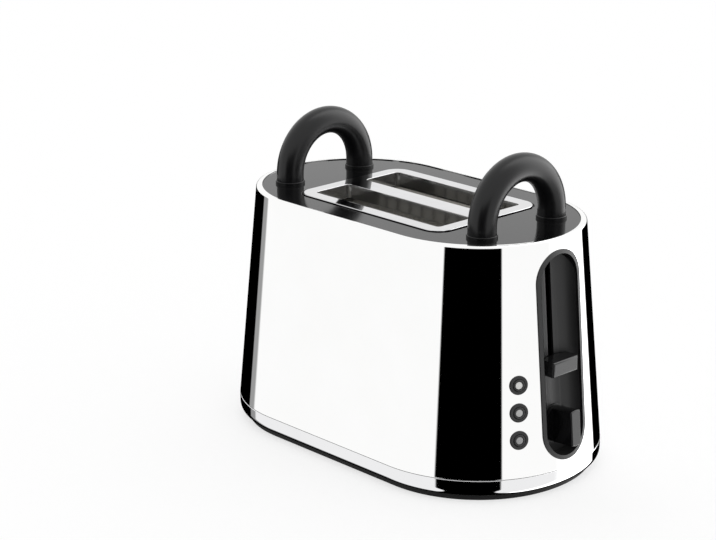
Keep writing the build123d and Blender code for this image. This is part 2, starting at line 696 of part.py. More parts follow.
def lift_spring():
    """Drawn-out lift spring between the carriage and the lid, as a plain sleeve."""
    high = BODY_TOP - LID_STEP_LOW - SPRING_HANGER
    sleeve = upright(SPRING_X, 0, CARRIAGE_HIGH, high, SPRING_RADIUS)
    return sleeve - upright(SPRING_X, 0, 0, BODY_TOP, SPRING_RADIUS - SPRING_WIRE)


def bread_rack(y):
    """Notched plate that lifts a slice, on a web that runs through both chamber ends."""
    half_length = CHAMBER_LENGTH / 2 - RACK_END_GAP
    half = RACK_WIDTH / 2
    rack = block(-half_length, half_length, y - half, y + half, RACK_Z, RACK_Z + RACK_PLATE)
    pitch = 2 * half_length / (RACK_NOTCHES + 1)
    for k in range(RACK_NOTCHES):
        x = -half_length + pitch * (k + 1)
        for side in (-1, 1):
            middle = y + side * half
            rack -= block(
                x - RACK_NOTCH / 2, x + RACK_NOTCH / 2, middle - RACK_NOTCH, middle + RACK_NOTCH, 0, BODY_TOP
            )
    tail = CHAMBER_LENGTH / 2 + CHAMBER_PLATE + RACK_TAIL
    web = RACK_WEB / 2
    return rack + block(-tail, CARRIAGE_X, y - web, y + web, RACK_Z - RACK_WEB_DEPTH, RACK_Z + NOTHING)


def latch_plate():
    """Bent steel plate on the carriage that the magnet holds down."""
    half = LATCH_WIDTH / 2
    low = MAGNET_TOP + LATCH_GAP
    leg = block(CARRIAGE_FRONT, CARRIAGE_FRONT + LATCH_PLATE, -half, half, low, LATCH_TOP)
    tip = MAGNET_X + MAGNET_LENGTH / 2
    return leg + block(CARRIAGE_FRONT, tip, -half, half, low, low + LATCH_PLATE)


def magnet_yoke():
    """Steel yoke and core of the hold-down magnet."""
    x0, x1 = MAGNET_X - MAGNET_LENGTH / 2, MAGNET_X + MAGNET_LENGTH / 2
    half = MAGNET_WIDTH / 2
    base_top = FLOOR_Z + MAGNET_PLATE
    yoke = block(x0, x1, -half, half, FLOOR_Z, base_top)
    yoke += block(x0, x0 + MAGNET_LEG, -half, half, FLOOR_Z, MAGNET_TOP)
    yoke += block(x1 - MAGNET_LEG, x1, -half, half, FLOOR_Z, MAGNET_TOP)
    return yoke + upright(MAGNET_X, 0, FLOOR_Z, MAGNET_TOP, MAGNET_CORE_RADIUS)


def magnet_coil():
    """Winding on the magnet's core, as one ring."""
    low, high = FLOOR_Z + MAGNET_PLATE, MAGNET_TOP - COIL_MARGIN
    coil = upright(MAGNET_X, 0, low, high, COIL_RADIUS)
    return coil - upright(MAGNET_X, 0, 0, BODY_TOP, MAGNET_CORE_RADIUS + COIL_FIT)


def chamber_end(side):
    """Steel plate across one end of the toasting chamber, with a pass for each rack web."""
    x0, x1 = sorted((side * CHAMBER_LENGTH / 2, side * (CHAMBER_LENGTH / 2 + CHAMBER_PLATE)))
    half = CHAMBER_WIDTH / 2 + CHAMBER_PLATE
    plate = block(x0, x1, -half, half, RAIL_TOP, CHAMBER_TOP)
    low = RACK_Z - RACK_WEB_DEPTH - RACK_PASS_MARGIN
    high = RACK_Z + LEVER_TRAVEL + RACK_PASS_MARGIN
    for y in SLOT_Y:
        plate -= block(x0 - 1, x1 + 1, y - RACK_PASS / 2, y + RACK_PASS / 2, low, high)
    return plate


def chamber_side(side):
    """Bright plate along one side of the toasting chamber."""
    y0, y1 = sorted((side * CHAMBER_WIDTH / 2, side * (CHAMBER_WIDTH / 2 + CHAMBER_PLATE)))
    half = CHAMBER_LENGTH / 2
    return block(-half, half, y0, y1, RAIL_TOP, CHAMBER_TOP)


def heater_board(y):
    """Mica sheet between the chamber ends."""
    half = CHAMBER_LENGTH / 2
    return block(-half, half, y - BOARD_THICKNESS / 2, y + BOARD_THICKNESS / 2, BOARD_LOW, BOARD_HIGH)


def heater_ribbons():
    """Rows of heating ribbon on each mica face that looks at a slot."""
    face = BOARD_THICKNESS / 2
    sheets = [(-BOARD_OFFSET, 1), (0, -1), (0, 1), (BOARD_OFFSET, -1)]
    ribbons = []
    for y, side in sheets:
        y0, y1 = sorted((y + side * face, y + side * (face + RIBBON_THICKNESS)))
        for row in range(RIBBON_ROWS):
            z = RIBBON_FIRST_Z + row * RIBBON_PITCH
            half = RIBBON_LENGTH / 2
            ribbons.append(block(-half, half, y0, y1, z - RIBBON_HEIGHT / 2, z + RIBBON_HEIGHT / 2))
    return group(ribbons)


def bread_guard(y):
    """Grid of upright wires between two long bars that keeps bread off the heater."""
    guard = Part()
    for z in (GUARD_LOW, GUARD_HIGH):
        guard += Pos(0, y, z) * Rot(0, 90, 0) * Cylinder(GUARD_BAR_RADIUS, CHAMBER_LENGTH)
    first = -GUARD_WIRE_PITCH * (GUARD_WIRES - 1) / 2
    for k in range(GUARD_WIRES):
        guard += upright(first + k * GUARD_WIRE_PITCH, y, GUARD_LOW, GUARD_HIGH, GUARD_WIRE_RADIUS)
    return guard


def crumb_tray():
    """Folded steel tray under the chamber, rounded where it meets its front."""
    half = TRAY_WIDTH / 2
    high = TRAY_LOW + TRAY_WALL_HEIGHT
    outer = block(-BODY_LENGTH, TRAY_END_X, -half, half, TRAY_LOW, high)
    outer = outer & plan_prism(TRAY_FRONT_DEPTH, TRAY_LOW, high)
    inner_half = half - TRAY_SHEET
    inner = block(-BODY_LENGTH, TRAY_END_X - TRAY_SHEET, -inner_half, inner_half, TRAY_LOW + TRAY_SHEET, 2 * high)
    inner = inner & plan_prism(TRAY_FRONT_DEPTH + TRAY_SHEET, TRAY_LOW, 2 * high)
    return outer - inner


def tray_front():
    """Front of the crumb tray: a piece of the foot ring's own shape with a finger scoop."""
    half = TRAY_FRONT_WIDTH / 2
    front = ring_solid(0, RING_BOTTOM, RING_ROLL)
    front -= plan_prism(TRAY_FRONT_DEPTH, 0, BODY_TOP)
    front = front & block(-BODY_LENGTH, 0, -half, half, TRAY_FRONT_LOW, RING_TOP)
    scoop_back = -BODY_LENGTH / 2 + SCOOP_DEPTH
    return front - block(-BODY_LENGTH, scoop_back, -SCOOP_LENGTH / 2, SCOOP_LENGTH / 2, SCOOP_LOW, SCOOP_HIGH)


def button_bezels():
    """Dark ring and tube round each push button."""
    bore = CAP_RADIUS + CAP_FIT
    bezels = []
    for frame in BUTTONS.values():
        flange = local_rod(RIM_SEAT, BEZEL_PROUD, BEZEL_RADIUS)
        flange = fillet(flange.faces().sort_by(Axis.Z)[-1].edges(), BEZEL_PROUD / 2)
        bezel = flange + local_rod(-BUTTON_BOARD_DEPTH, BEZEL_PROUD / 2, BEZEL_TUBE_RADIUS)
        bezels.append(frame * (bezel - local_rod(-2 * BUTTON_BOARD_DEPTH, BUTTON_BOARD_DEPTH, bore)))
    return group(bezels)


def button_cap(frame):
    """Push button with a rounded face and a thin stem behind it."""
    cap = local_rod(-CAP_SKIRT, CAP_PROUD, CAP_RADIUS)
    cap = fillet(cap.faces().sort_by(Axis.Z)[-1].edges(), CAP_EDGE)
    stem_end = -BUTTON_BOARD_DEPTH + SWITCH_HEIGHT + BUTTON_TRAVEL + SWITCH_GAP
    return frame * (cap + local_rod(stem_end, -CAP_SKIRT / 2, CAP_STEM_RADIUS))


def button_board():
    """Circuit board across the inner ends of the button tubes."""
    height = 2 * (BUTTON_STEP + BUTTON_BOARD_MARGIN)
    board = Pos(0, 0, -BUTTON_BOARD_DEPTH - BOARD_SHEET / 2) * Box(BUTTON_BOARD_WIDTH, height, BOARD_SHEET)
    return BUTTON_COLUMN * board


def button_switches():
    """One small switch behind each button."""
    place = Pos(0, 0, -BUTTON_BOARD_DEPTH + SWITCH_HEIGHT / 2)
    return group(frame * place * Box(SWITCH_SIZE, SWITCH_SIZE, SWITCH_HEIGHT) for frame in BUTTONS.values())


def browning_knob():
    """Round knob with a bar grip right across it and a blind hole for its shaft."""
    back = -KNOB_SEAT_DEPTH + KNOB_GAP
    skirt = local_rod(back, back + KNOB_SKIRT, KNOB_RADIUS)
    grip = local_rod(back, KNOB_PROUD, KNOB_RADIUS)
    grip = grip & (Pos(0, 0, (back + KNOB_PROUD) / 2) * Box(KNOB_GRIP_WIDTH, 4 * KNOB_RADIUS, KNOB_PROUD - back))
    grip = fillet(grip.faces().sort_by(Axis.Z)[-1].edges(), KNOB_EDGE)
    knob = skirt + grip
    return KNOB * (knob - local_rod(back - 1, back + SHAFT_SOCKET + SHAFT_FIT, SHAFT_RADIUS + SHAFT_FIT / 2))


def browning_shaft():
    """Steel shaft from the knob into the rotary control."""
    top = -KNOB_SEAT_DEPTH + KNOB_GAP + SHAFT_SOCKET
    return KNOB * local_rod(-LINER_BACK - SHAFT_TAIL, top, SHAFT_RADIUS)


def browning_control():
    """Rotary control on the back of the knob seat."""
    middle = Pos(0, 0, -LINER_BACK - POT_DEPTH / 2)
    body = middle * Box(POT_SIZE, POT_SIZE, POT_DEPTH)
    hole = local_rod(-LINER_BACK - SHAFT_TAIL - SHAFT_FIT, 0, SHAFT_RADIUS + SHAFT_FIT)
    return KNOB * (body - hole)


def control_board():
    """Upright circuit board on the base pan."""
    y0, y1 = CONTROL_BOARD_Y
    return block(CONTROL_BOARD_X, CONTROL_BOARD_X + BOARD_SHEET, y0, y1, FLOOR_Z, CONTROL_BOARD_TOP)


def board_parts():
    """Transformer, relay and capacitor on the circuit board."""
    x = CONTROL_BOARD_X + BOARD_SHEET
    parts = []
    for size, z in ((TRANSFORMER_SIZE, TRANSFORMER_Z), (RELAY_SIZE, RELAY_Z)):
        y = BOARD_PART_Y[0]
        parts.append(
            block(x, x + size[0], y - size[1] / 2, y + size[1] / 2, z - size[2] / 2, z + size[2] / 2)
        )
    can = Rot(0, 90, 0) * Cylinder(CAPACITOR_RADIUS, CAPACITOR_LENGTH)
    parts.append(Pos(x + CAPACITOR_LENGTH / 2, BOARD_PART_Y[1], RELAY_Z) * can)
    return group(parts)


def terminal_block():
    """Block on the base pan where the mains leads end."""
    length, width, height = TERMINAL_SIZE
    x, y = INLET_X, TERMINAL_Y
    body = block(x - length / 2, x + length / 2, y - width / 2, y + width / 2, FLOOR_Z, FLOOR_Z + height)
    return fillet(body.edges().filter_by(Axis.Z), 1.0)


def cord_inlet():
    """Bush that guards the cord hole in the rear side."""
    flange = local_rod(0, INLET_FLANGE, INLET_FLANGE_RADIUS)
    flange = chamfer(flange.faces().sort_by(Axis.Z)[-1].edges(), INLET_FLANGE / 2)
    bush = flange + local_rod(-INLET_LENGTH, INLET_FLANGE / 2, INLET_TUBE_RADIUS)
    return INLET * (bush - local_rod(-2 * INLET_LENGTH, INLET_LENGTH, INLET_BORE_RADIUS))


def inlet_nut():
    """Ring that clamps the cord bush from inside the shell."""
    start = -SHELL_WALL - INLET_FIT
    nut = local_rod(start - INLET_NUT, start, INLET_FLANGE_RADIUS)
    return INLET * (nut - local_rod(-2 * INLET_LENGTH, 0, INLET_TUBE_RADIUS + INLET_FIT))


def pieces():
    """Every node of the toaster by name."""
    nodes = {
        "outer_shell": outer_shell(),
        "base_ring": base_ring(),
        "base_pan": base_pan(),
        "foot_ring": foot_ring(),
        "foot_screws": foot_screws(),
        "top_cover": top_cover(),
        "slot_frame": slot_frame(),
        "handle_tray_end": handle(HANDLE_X[0]),
        "handle_lever_end": handle(HANDLE_X[1]),
        "handle_collars": handle_collars(),
        "handle_screws": handle_screws(),
        "control_liner": control_liner(),
        "lever_knob": lever_knob(),
        "lever_arm": lever_arm(),
        "carriage": carriage(),
        "guide_rods": guide_rods(),
        "lift_spring": lift_spring(),
        "bread_rack_front": bread_rack(SLOT_Y[0]),
        "bread_rack_rear": bread_rack(SLOT_Y[1]),
        "latch_plate": latch_plate(),
        "magnet_yoke": magnet_yoke(),
        "magnet_coil": magnet_coil(),
        "chamber_end_lever": chamber_end(1),
        "chamber_end_tray": chamber_end(-1),
        "chamber_side_front": chamber_side(-1),
        "chamber_side_rear": chamber_side(1),
        "heater_board_front": heater_board(-BOARD_OFFSET),
        "heater_board_middle": heater_board(0),
        "heater_board_rear": heater_board(BOARD_OFFSET),
        "heater_ribbons": heater_ribbons(),
        "crumb_tray": crumb_tray(),
        "crumb_tray_front": tray_front(),
        "button_bezels": button_bezels(),
        "button_board": button_board(),
        "button_switches": button_switches(),
        "browning_knob": browning_knob(),
        "browning_shaft": browning_shaft(),
        "browning_control": browning_control(),
        "control_board": control_board(),
        "board_parts": board_parts(),
        "terminal_block": terminal_block(),
        "cord_inlet": cord_inlet(),
        "inlet_nut": inlet_nut(),
    }
    for name, frame in BUTTONS.items():
        nodes[f"button_{name}"] = button_cap(frame)
    for slot, y in zip(("front", "rear"), SLOT_Y):
        nodes[f"bread_guard_{slot}_outer"] = bread_guard(y + (GUARD_OFFSET if y > 0 else -GUARD_OFFSET))
        nodes[f"bread_guard_{slot}_inner"] = bread_guard(y - (GUARD_OFFSET if y > 0 else -GUARD_OFFSET))
    return nodes


os.makedirs("parts", exist_ok=True)
for name, shape in pieces().items():
    shape.label = name
    export_step(shape, f"parts/{name}.step")
    print(name, len(shape.solids()), round(sum(s.volume for s in shape.solids()), 1))
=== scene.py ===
"""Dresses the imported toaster: a plain studio, the photograph's camera, and its metal and moulded pieces.

Sizes are written in millimetres and turned into metres where a mesh is made. The frame is the
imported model's: +X towards the lever end, +Z up from the table, -Y the long side by the buttons.
"""

import json
from math import atan2, copysign, cos, pi, radians, sin, sqrt, tan

import bmesh
import bpy
import numpy as np
from mathutils import Matrix, Vector
from mathutils.geometry import tessellate_polygon

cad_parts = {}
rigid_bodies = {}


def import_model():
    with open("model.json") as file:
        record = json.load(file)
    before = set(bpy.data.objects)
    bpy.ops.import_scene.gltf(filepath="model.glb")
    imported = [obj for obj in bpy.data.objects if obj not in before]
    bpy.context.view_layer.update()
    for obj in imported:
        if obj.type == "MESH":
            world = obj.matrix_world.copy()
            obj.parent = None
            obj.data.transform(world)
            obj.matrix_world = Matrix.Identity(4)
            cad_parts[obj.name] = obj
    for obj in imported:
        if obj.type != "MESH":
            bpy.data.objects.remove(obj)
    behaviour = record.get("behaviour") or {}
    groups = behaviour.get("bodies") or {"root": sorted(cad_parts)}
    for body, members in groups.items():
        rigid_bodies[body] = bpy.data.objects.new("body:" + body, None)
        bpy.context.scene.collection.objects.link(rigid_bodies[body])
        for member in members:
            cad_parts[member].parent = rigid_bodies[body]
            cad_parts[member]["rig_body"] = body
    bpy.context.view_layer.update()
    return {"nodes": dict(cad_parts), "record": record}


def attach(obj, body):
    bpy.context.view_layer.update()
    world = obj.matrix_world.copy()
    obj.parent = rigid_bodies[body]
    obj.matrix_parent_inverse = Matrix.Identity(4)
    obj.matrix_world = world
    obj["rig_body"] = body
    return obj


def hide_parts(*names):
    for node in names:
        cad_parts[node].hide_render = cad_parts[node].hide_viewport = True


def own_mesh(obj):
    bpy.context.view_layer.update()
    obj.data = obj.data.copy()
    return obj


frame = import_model()

MM = 0.001
BODY = "toaster_body"

# Body plan and height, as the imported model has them. The plan is widest at the seam over the ring
BODY_LENGTH = 317.0
BODY_WIDTH = 190.0
CORNER_OFFSET = 3.5
END_EXTRA = 13.5
CORNER_RADIUS = BODY_WIDTH / 2 - CORNER_OFFSET
BODY_TOP = 190.0
SEAM_Z = 18.0
SEAM_GAP = 0.24
LEAN = radians(5.125)
DRAFT = tan(LEAN)
CORNER_X = BODY_LENGTH / 2 - CORNER_RADIUS - END_EXTRA + sqrt(END_EXTRA**2 - CORNER_OFFSET**2)

# Radii of the rounded edges at the seam and of the sheet's other edges
SEAM_EDGE = 0.5
SHEET_EDGE = 0.3

# Steel wall, its rolled top edge and the lid inside it
SHELL_WALL = 1.2
SHELL_TOP_ROLL = 2.2
SHELL_FOOT = SEAM_Z + SEAM_GAP / 2
TOP_INSET = (BODY_TOP - SEAM_Z) * DRAFT
LID_OPENING_EDGE = 0.08
LID_OPENING_RIM = 0.1
LID_GAP = 0.2
LID_INSET = TOP_INSET + SHELL_TOP_ROLL + LID_GAP
LID_TOP = BODY_TOP - 0.7

# Bright ring, the crumb tray's front in it, and the rubber foot
RING_TOP = SEAM_Z - SEAM_GAP / 2
RING_BOTTOM = 4.5
RING_WALL = 1.5
RING_ROLL = 6.5
RING_LIP_INSET = 8.2
TRAY_FRONT_HALF = 47.0
TRAY_FRONT_DEPTH = 8.0
TRAY_FRONT_LOW = 8.6
TRAY_FRONT_FIT = 0.4
TRAY_CUT_X = -134
SCOOP_WIDTH = 46.0
SCOOP_HEIGHT = 5.4
SCOOP_Z = 12.7
SCOOP_DEPTH = 5.6
FOOT_EDGE = 1.0
FOOT_TOP = 4.4
FOOT_OUTSIDE = 6.6
FOOT_INSIDE = 22.0
FOOT_SCREW_INSET = 15.0
FOOT_SCREW_RADIUS = 1.6
FOOT_HEAD_RADIUS = 3.3
FOOT_HEAD_DEPTH = 2.6

# How far cutting tools reach: past the whole body, or to each side of the leaning wall
PAST_BODY = 200
RING_CUT_TOP = 40
TRAY_FRONT_CUT_TOP = RING_TOP + 1
SCOOP_CUT_REACH = 20
RECESS_CUT_REACH = 20
BUTTON_CUT_REACH = 8
INLET_CUT_REACH = 4

# Slot frame and its skirts
FRAME_LENGTH = 153.0
FRAME_WIDTH = 109.8
FRAME_CORNER = 14.0
FRAME_RISE = 1.0
FRAME_EDGE = 0.4
FRAME_RIM = 2.0
SLOT_LENGTH = 132.0
SLOT_WIDTH = 35.6
SLOT_CORNER = 3.5
SLOT_HALF_PITCH = 26.6
SLOT_ROLL = 0.35
SKIRT_EDGE = 0.2
SKIRT_WALL = 1.0
SKIRT_DEPTH = 10.0

# Arches and the collars round their legs
HANDLE_X = 102.85
HANDLE_HALF = 37.35
HANDLE_TUBE_RADIUS = 10.6
HANDLE_KNEE_Z = 196.4
LEG_RING_Z = 192.0
COLLAR_BORE = 10.7
COLLAR_RADIUS = 11.5
COLLAR_HEIGHT = 2.4
COLLAR_EDGE = 0.5

# Recess, buttons, spring and cord bush, each on the leaning wall or on the carriage's line
RECESS_Z = 102.85
RECESS_CUT_WIDTH = 44.4
RECESS_CUT_HEIGHT = 155.7
BUTTON_ANGLE = radians(25.3)
BUTTON_Z = 67.4
BUTTON_STEP = 20.5 / cos(LEAN)
BUTTON_HOLE = 6.0
BEZEL_RADIUS = 7.1
BEZEL_TUBE_RADIUS = 5.8
BEZEL_PROUD = 0.8
BEZEL_SEAT = 0.05
BEZEL_DEPTH = 16.4
BEZEL_EDGE = 0.5
CAP_BORE = 4.65
CAP_EDGE = 0.7
CAP_RADIUS = 4.5
CAP_PROUD = 1.2
CAP_DEPTH = 6.0
STEM_RADIUS = 1.6
STEM_DEPTH = 10.6
INLAY_SEAT = 2.85
INLAY_FLOOR = 0.5
INLAY_FIT = 0.1
SPRING_X = 83.0
SPRING_LOW = 64.6
SPRING_HIGH = 176.2
SPRING_COIL_RADIUS = 3.4
SPRING_WIRE_RADIUS = 0.55
SPRING_TURNS = 24
SPRING_TURN_STEPS = 20
INLET_X = -55
INLET_Z = 33
INLET_HOLE = 6.1

# The photograph's camera, from its outline of the body: place and aim in mm, lens for a 36 mm sensor
CAMERA_PLACE = (1057.7, -1068.0, 609.1)
CAMERA_AIM = (-40.3, -23.6, 128.7)
CAMERA_LENS = 102.88
CAMERA_SENSOR = 36.0

# Studio, as the polished body shows it. Bearings are degrees round the toaster from the camera's
# side, anticlockwise from above, and heights are the sine of the angle above the table
EVEN_LIGHT = 1.0
SCREEN_LEFT = -37.0
SCREEN_RIGHT = 25.0
SCREEN_SOFT = 1
SCREEN_TOP_ANGLE = 20.0
SCREEN_SOFT_ANGLE = 1
STRIP_TOP = -0.40
STRIP_SOFT_TOP = -0.52
STRIP_HALF_DOWN = 0.26
STRIP_HALF_TOP = 0.47
STRIP_SOFT = 0.012
FAR_LEFT = -125.0
FAR_RIGHT = 134.5
FAR_GREY = -116.0
FAR_GREY_SHADE = 0.67
FAR_SOFT = 2
FAR_SOFT_HEIGHT = -0.06
LAMP_LEFT = 90.0
LAMP_RIGHT = 140.0
LAMP_SOFT = 12
LAMP_GAIN = 1.8
TABLE_HALF = 30.0
TABLE_GLOW = 0.62

# Points of a mesh copy nearer than this are joined, in metres, and faces this flat become one
JOIN_GAP = 0.000004
FLAT_ANGLE = radians(0.2)

# Steps in a full circle, and in the half circle of an arch
CIRCLE_STEPS = 48


# Curves and meshes


def straight(start, end):
    """Run of a profile from start to end. Its normal is on the right of the way."""
    start, end = np.array(start, float), np.array(end, float)
    way = (end - start) / np.linalg.norm(end - start)
    return np.stack([start, end]), np.tile([way[1], -way[0]], (2, 1))


def rounded(corners, radii, steps=6):
    """Closed profile with straight sides and corners rounded to their radii, as a list of runs.

    At a corner the arc's centre is its radius to the side of the turn, and the arc's points and
    normals are the first ones turned about it.
    """
    corners = np.array(corners, float)
    ways = np.roll(corners, -1, 0) - corners
    ways /= np.linalg.norm(ways, axis=1)[:, None]
    arcs = []
    for k, (corner, radius) in enumerate(zip(corners, radii)):
        into, out = ways[k - 1], ways[k]
        turn = atan2(into[0] * out[1] - into[1] * out[0], into @ out)
        start = corner - into * radius * tan(abs(turn) / 2)
        right = np.array([into[1], -into[0]])
        centre = start - right * radius * np.sign(turn)
        angles = np.linspace(0, turn, steps + 1)
        c, s = np.cos(angles), np.sin(angles)
        arm = start - centre
        points = centre + np.stack([c * arm[0] - s * arm[1], s * arm[0] + c * arm[1]], 1)
        normals = np.stack([c * right[0] - s * right[1], s * right[0] + c * right[1]], 1)
        arcs.append((points, normals) if radius else (corner[None], right[None]))
    runs = []
    for k, (points, normals) in enumerate(arcs):
        if len(points) > 1:
            runs.append((points, normals))
        runs.append(straight(points[-1], arcs[(k + 1) % len(arcs)][0][0]))
    return runs


def arc_line(length, width, offset, extra, arc_steps=40, end_steps=16):
    """Outline of two flat sides, four corner arcs and two end arcs, and the outward way at its points.

    A point is its arc's centre plus the arc's radius times the direction. A flat side is the step
    from one corner arc to the next. The first point is repeated at the end.
    """
    radius = width / 2 - offset
    run = sqrt(extra**2 - offset**2)
    bow = atan2(abs(offset), run)
    end_x = length / 2 - radius - extra
    corner_x = end_x + copysign(run, extra)
    end = np.linspace(-bow, bow, end_steps + 1)
    turn = np.linspace(bow, pi / 2, arc_steps + 1)[1:]

    def row(angles, x, y, reach):
        one = np.ones_like(angles)
        return np.stack([angles, x * one, y * one, reach * one], 1)

    sides = []
    for half, sign in ((0, 1), (pi, -1)):
        sides.append(row(end + half, sign * end_x, 0, radius + extra))
        sides.append(row(turn + half, sign * corner_x, sign * offset, radius))
        sides.append(row(pi - turn[::-1] + half, -sign * corner_x, sign * offset, radius))
    rows = np.concatenate(sides)
    rows = np.concatenate([rows, rows[:1]])
    out = np.stack([np.cos(rows[:, 0]), np.sin(rows[:, 0])], 1)
    return rows[:, 1:3] + rows[:, 3:4] * out, out


def body_line():
    """Outline of the body at the seam."""
    return arc_line(BODY_LENGTH, BODY_WIDTH, CORNER_OFFSET, END_EXTRA)


def lid_line():
    """Outline of the lid's opening, rounder at its corners than the body."""
    return arc_line(BODY_LENGTH - 2 * LID_INSET, BODY_WIDTH - 2 * LID_INSET, -CORNER_OFFSET, -END_EXTRA)


def circle_line(steps=CIRCLE_STEPS):
    """Directions round a circle, with the circle's centre as the base of each."""
    angles = np.linspace(0, 2 * pi, steps + 1)
    out = np.stack([np.cos(angles), np.sin(angles)], 1)
    return np.zeros_like(out), out


def box_line(length, width, radius, centre=(0, 0), steps=8):
    """Rounded rectangle, and the outward direction at each of its points."""
    angles, middles = [], []
    for k, (sx, sy) in enumerate(((1, 1), (-1, 1), (-1, -1), (1, -1))):
        angles.append(np.linspace(k * pi / 2, (k + 1) * pi / 2, steps + 1))
        middles.append(np.tile([sx * (length / 2 - radius), sy * (width / 2 - radius)], (steps + 1, 1)))
    angles, middles = np.concatenate(angles), np.concatenate(middles)
    out = np.stack([np.cos(angles), np.sin(angles)], 1)
    base = np.array(centre) + middles + radius * out
    return np.concatenate([base, base[:1]]), np.concatenate([out, out[:1]])


def swept(runs, line):
    """Patches of a profile carried along a line: base plus the profile's reach times out, and its height."""
    base, out = line
    patches = []
    for points, normals in runs:
        flat = base[None] + points[:, :1, None] * out[None]
        height = np.broadcast_to(points[:, 1:2, None], flat.shape[:2] + (1,))
        side = normals[:, :1, None] * out[None]
        rise = np.broadcast_to(normals[:, 1:2, None], flat.shape[:2] + (1,))
        patches.append((np.concatenate([flat, height], 2), np.concatenate([side, rise], 2)))
    return patches


def turned(corners, radii, steps=CIRCLE_STEPS, round_steps=5):
    """Patches of a closed profile turned about the z axis. The profile is (radius, height)."""
    return swept(rounded(corners, radii, round_steps), circle_line(steps))


def filled(outlines, z, up):
    """Flat face between an outline and the holes in it, as triangles given as three-corner patches."""
    rings = [[Vector((x, y, 0)) for x, y in ring[:-1]] for ring in outlines]
    corners = np.array([tuple(p)[:2] for ring in rings for p in ring])
    triangles = np.array(tessellate_polygon(rings))
    points = np.concatenate([corners[triangles], np.full(triangles.shape + (1,), z)], 2)
    return points, np.broadcast_to([0.0, 0.0, 1.0 if up else -1.0], points.shape)


def placed(patches, matrix):
    """Patches moved from their own frame into the world by a 4 by 4 matrix."""
    turn, move = matrix[:3, :3], matrix[:3, 3]
    return [(points @ turn.T + move, normals @ turn.T) for points, normals in patches]


def corners_of(patches):
    """Corner points and normals of every four-sided face of the grid patches, one array per patch."""
    points, normals = [], []
    for p, n in patches:
        grid = [p[:-1, :-1], p[1:, :-1], p[1:, 1:], p[:-1, 1:]]
        way = [n[:-1, :-1], n[1:, :-1], n[1:, 1:], n[:-1, 1:]]
        points.append(np.stack(grid, 2).reshape(-1, 4, 3))
        normals.append(np.stack(way, 2).reshape(-1, 4, 3))
    return points, normals


def make_mesh(name, patches, flats=()):
    """Mesh of grid patches and flat triangle sets, with the worked-out normal on every face corner.

    Points nearer than a thousandth of a millimetre are joined, and each face is turned to the side
    of its normals. The normals are also kept in the attribute "way", which a cut carries over.
    """
    points, normals = corners_of(patches)
    for p, n in flats:
        points.append(p[:, [0, 1, 2, 2]])
        normals.append(n[:, [0, 1, 2, 2]])
    points, normals = np.concatenate(points), np.concatenate(normals)
    keys, joined = np.unique(np.round(points.reshape(-1, 3), 3), axis=0, return_inverse=True)
    ids = joined.reshape(points.shape[:2])
    across = np.cross(points[:, 2] - points[:, 0], points[:, 3] - points[:, 1])
    back = (across * normals.mean(1)).sum(1) < 0
    ids[back], normals[back] = ids[back, ::-1], normals[back, ::-1]
    keep = ids != np.roll(ids, 1, 1)
    keep[keep.sum(1) < 3] = False
    totals = keep.sum(1)
    totals = totals[totals > 0]
    loops, way = ids[keep], normals[keep]
    mesh = bpy.data.meshes.new(name)
    mesh.vertices.add(len(keys))
    mesh.vertices.foreach_set("co", (keys * MM).astype(np.float32).ravel())
    mesh.loops.add(len(loops))
    mesh.loops.foreach_set("vertex_index", loops.astype(np.int32))
    mesh.polygons.add(len(totals))
    mesh.polygons.foreach_set("loop_start", (np.cumsum(totals) - totals).astype(np.int32))
    mesh.update(calc_edges=True)
    attribute = mesh.attributes.new("way", "FLOAT_VECTOR", "CORNER")
    attribute.data.foreach_set("vector", way.astype(np.float32).ravel())
    set_normals(mesh)
    return mesh


def set_normals(mesh):
    """Gives each face corner the normal in "way"; a corner on a cut wall has none and stays flat."""
    way = np.zeros(len(mesh.loops) * 3, np.float32)
    mesh.attributes["way"].data.foreach_get("vector", way)
    way = way.reshape(-1, 3)
    starts = np.zeros(len(mesh.polygons), np.int32)
    totals = np.zeros(len(mesh.polygons), np.int32)
    flat = np.zeros(len(mesh.polygons) * 3, np.float32)
    mesh.polygons.foreach_get("loop_start", starts)
    mesh.polygons.foreach_get("loop_total", totals)
    mesh.polygons.foreach_get("normal", flat)
    face = np.empty_like(way)
    face[np.repeat(starts, totals) + np.concatenate([np.arange(t) for t in totals])] = np.repeat(
        flat.reshape(-1, 3), totals, 0
    )
    size = np.linalg.norm(way, axis=1)
    way = np.where((size > 0.5)[:, None], way / np.maximum(size, 1e-6)[:, None], face)
    mesh.polygons.foreach_set("use_smooth", np.ones(len(mesh.polygons), bool))
    mesh.normals_split_custom_set(way.tolist())


def in_scene(name, data):
    """New object of a mesh or camera, linked to the scene."""
    made = bpy.data.objects.new(name, data)
    bpy.context.scene.collection.objects.link(made)
    return made


def applied(piece, name):
    """Mesh of an object with its modifiers applied."""
    bpy.context.view_layer.update()
    result = bpy.data.meshes.new_from_object(piece.evaluated_get(bpy.context.evaluated_depsgraph_get()))
    result.name = name
    return result


def show(mesh, slot, body, *nodes):
    """Puts a mesh in the scene, riding on a body in place of CAD nodes, with its slot's material."""
    piece = in_scene(mesh.name, mesh)
    mesh.materials.append(FINISH[slot])
    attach(piece, body)
    if nodes:
        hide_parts(*nodes)
    return piece


def cut(mesh, *tools, keep=False):
    """Mesh with each tool's volume taken out, or kept alone, and its own normals put back."""
    piece = in_scene(mesh.name, mesh)
    helpers = [in_scene("tool", tool) for tool in tools]
    for helper in helpers:
        modifier = piece.modifiers.new("cut", "BOOLEAN")
        modifier.operation = "INTERSECT" if keep else "DIFFERENCE"
        modifier.solver = "EXACT"
        modifier.object = helper
    result = applied(piece, mesh.name)
    for helper in [piece] + helpers:
        bpy.data.objects.remove(helper)
    set_normals(result)
    return result


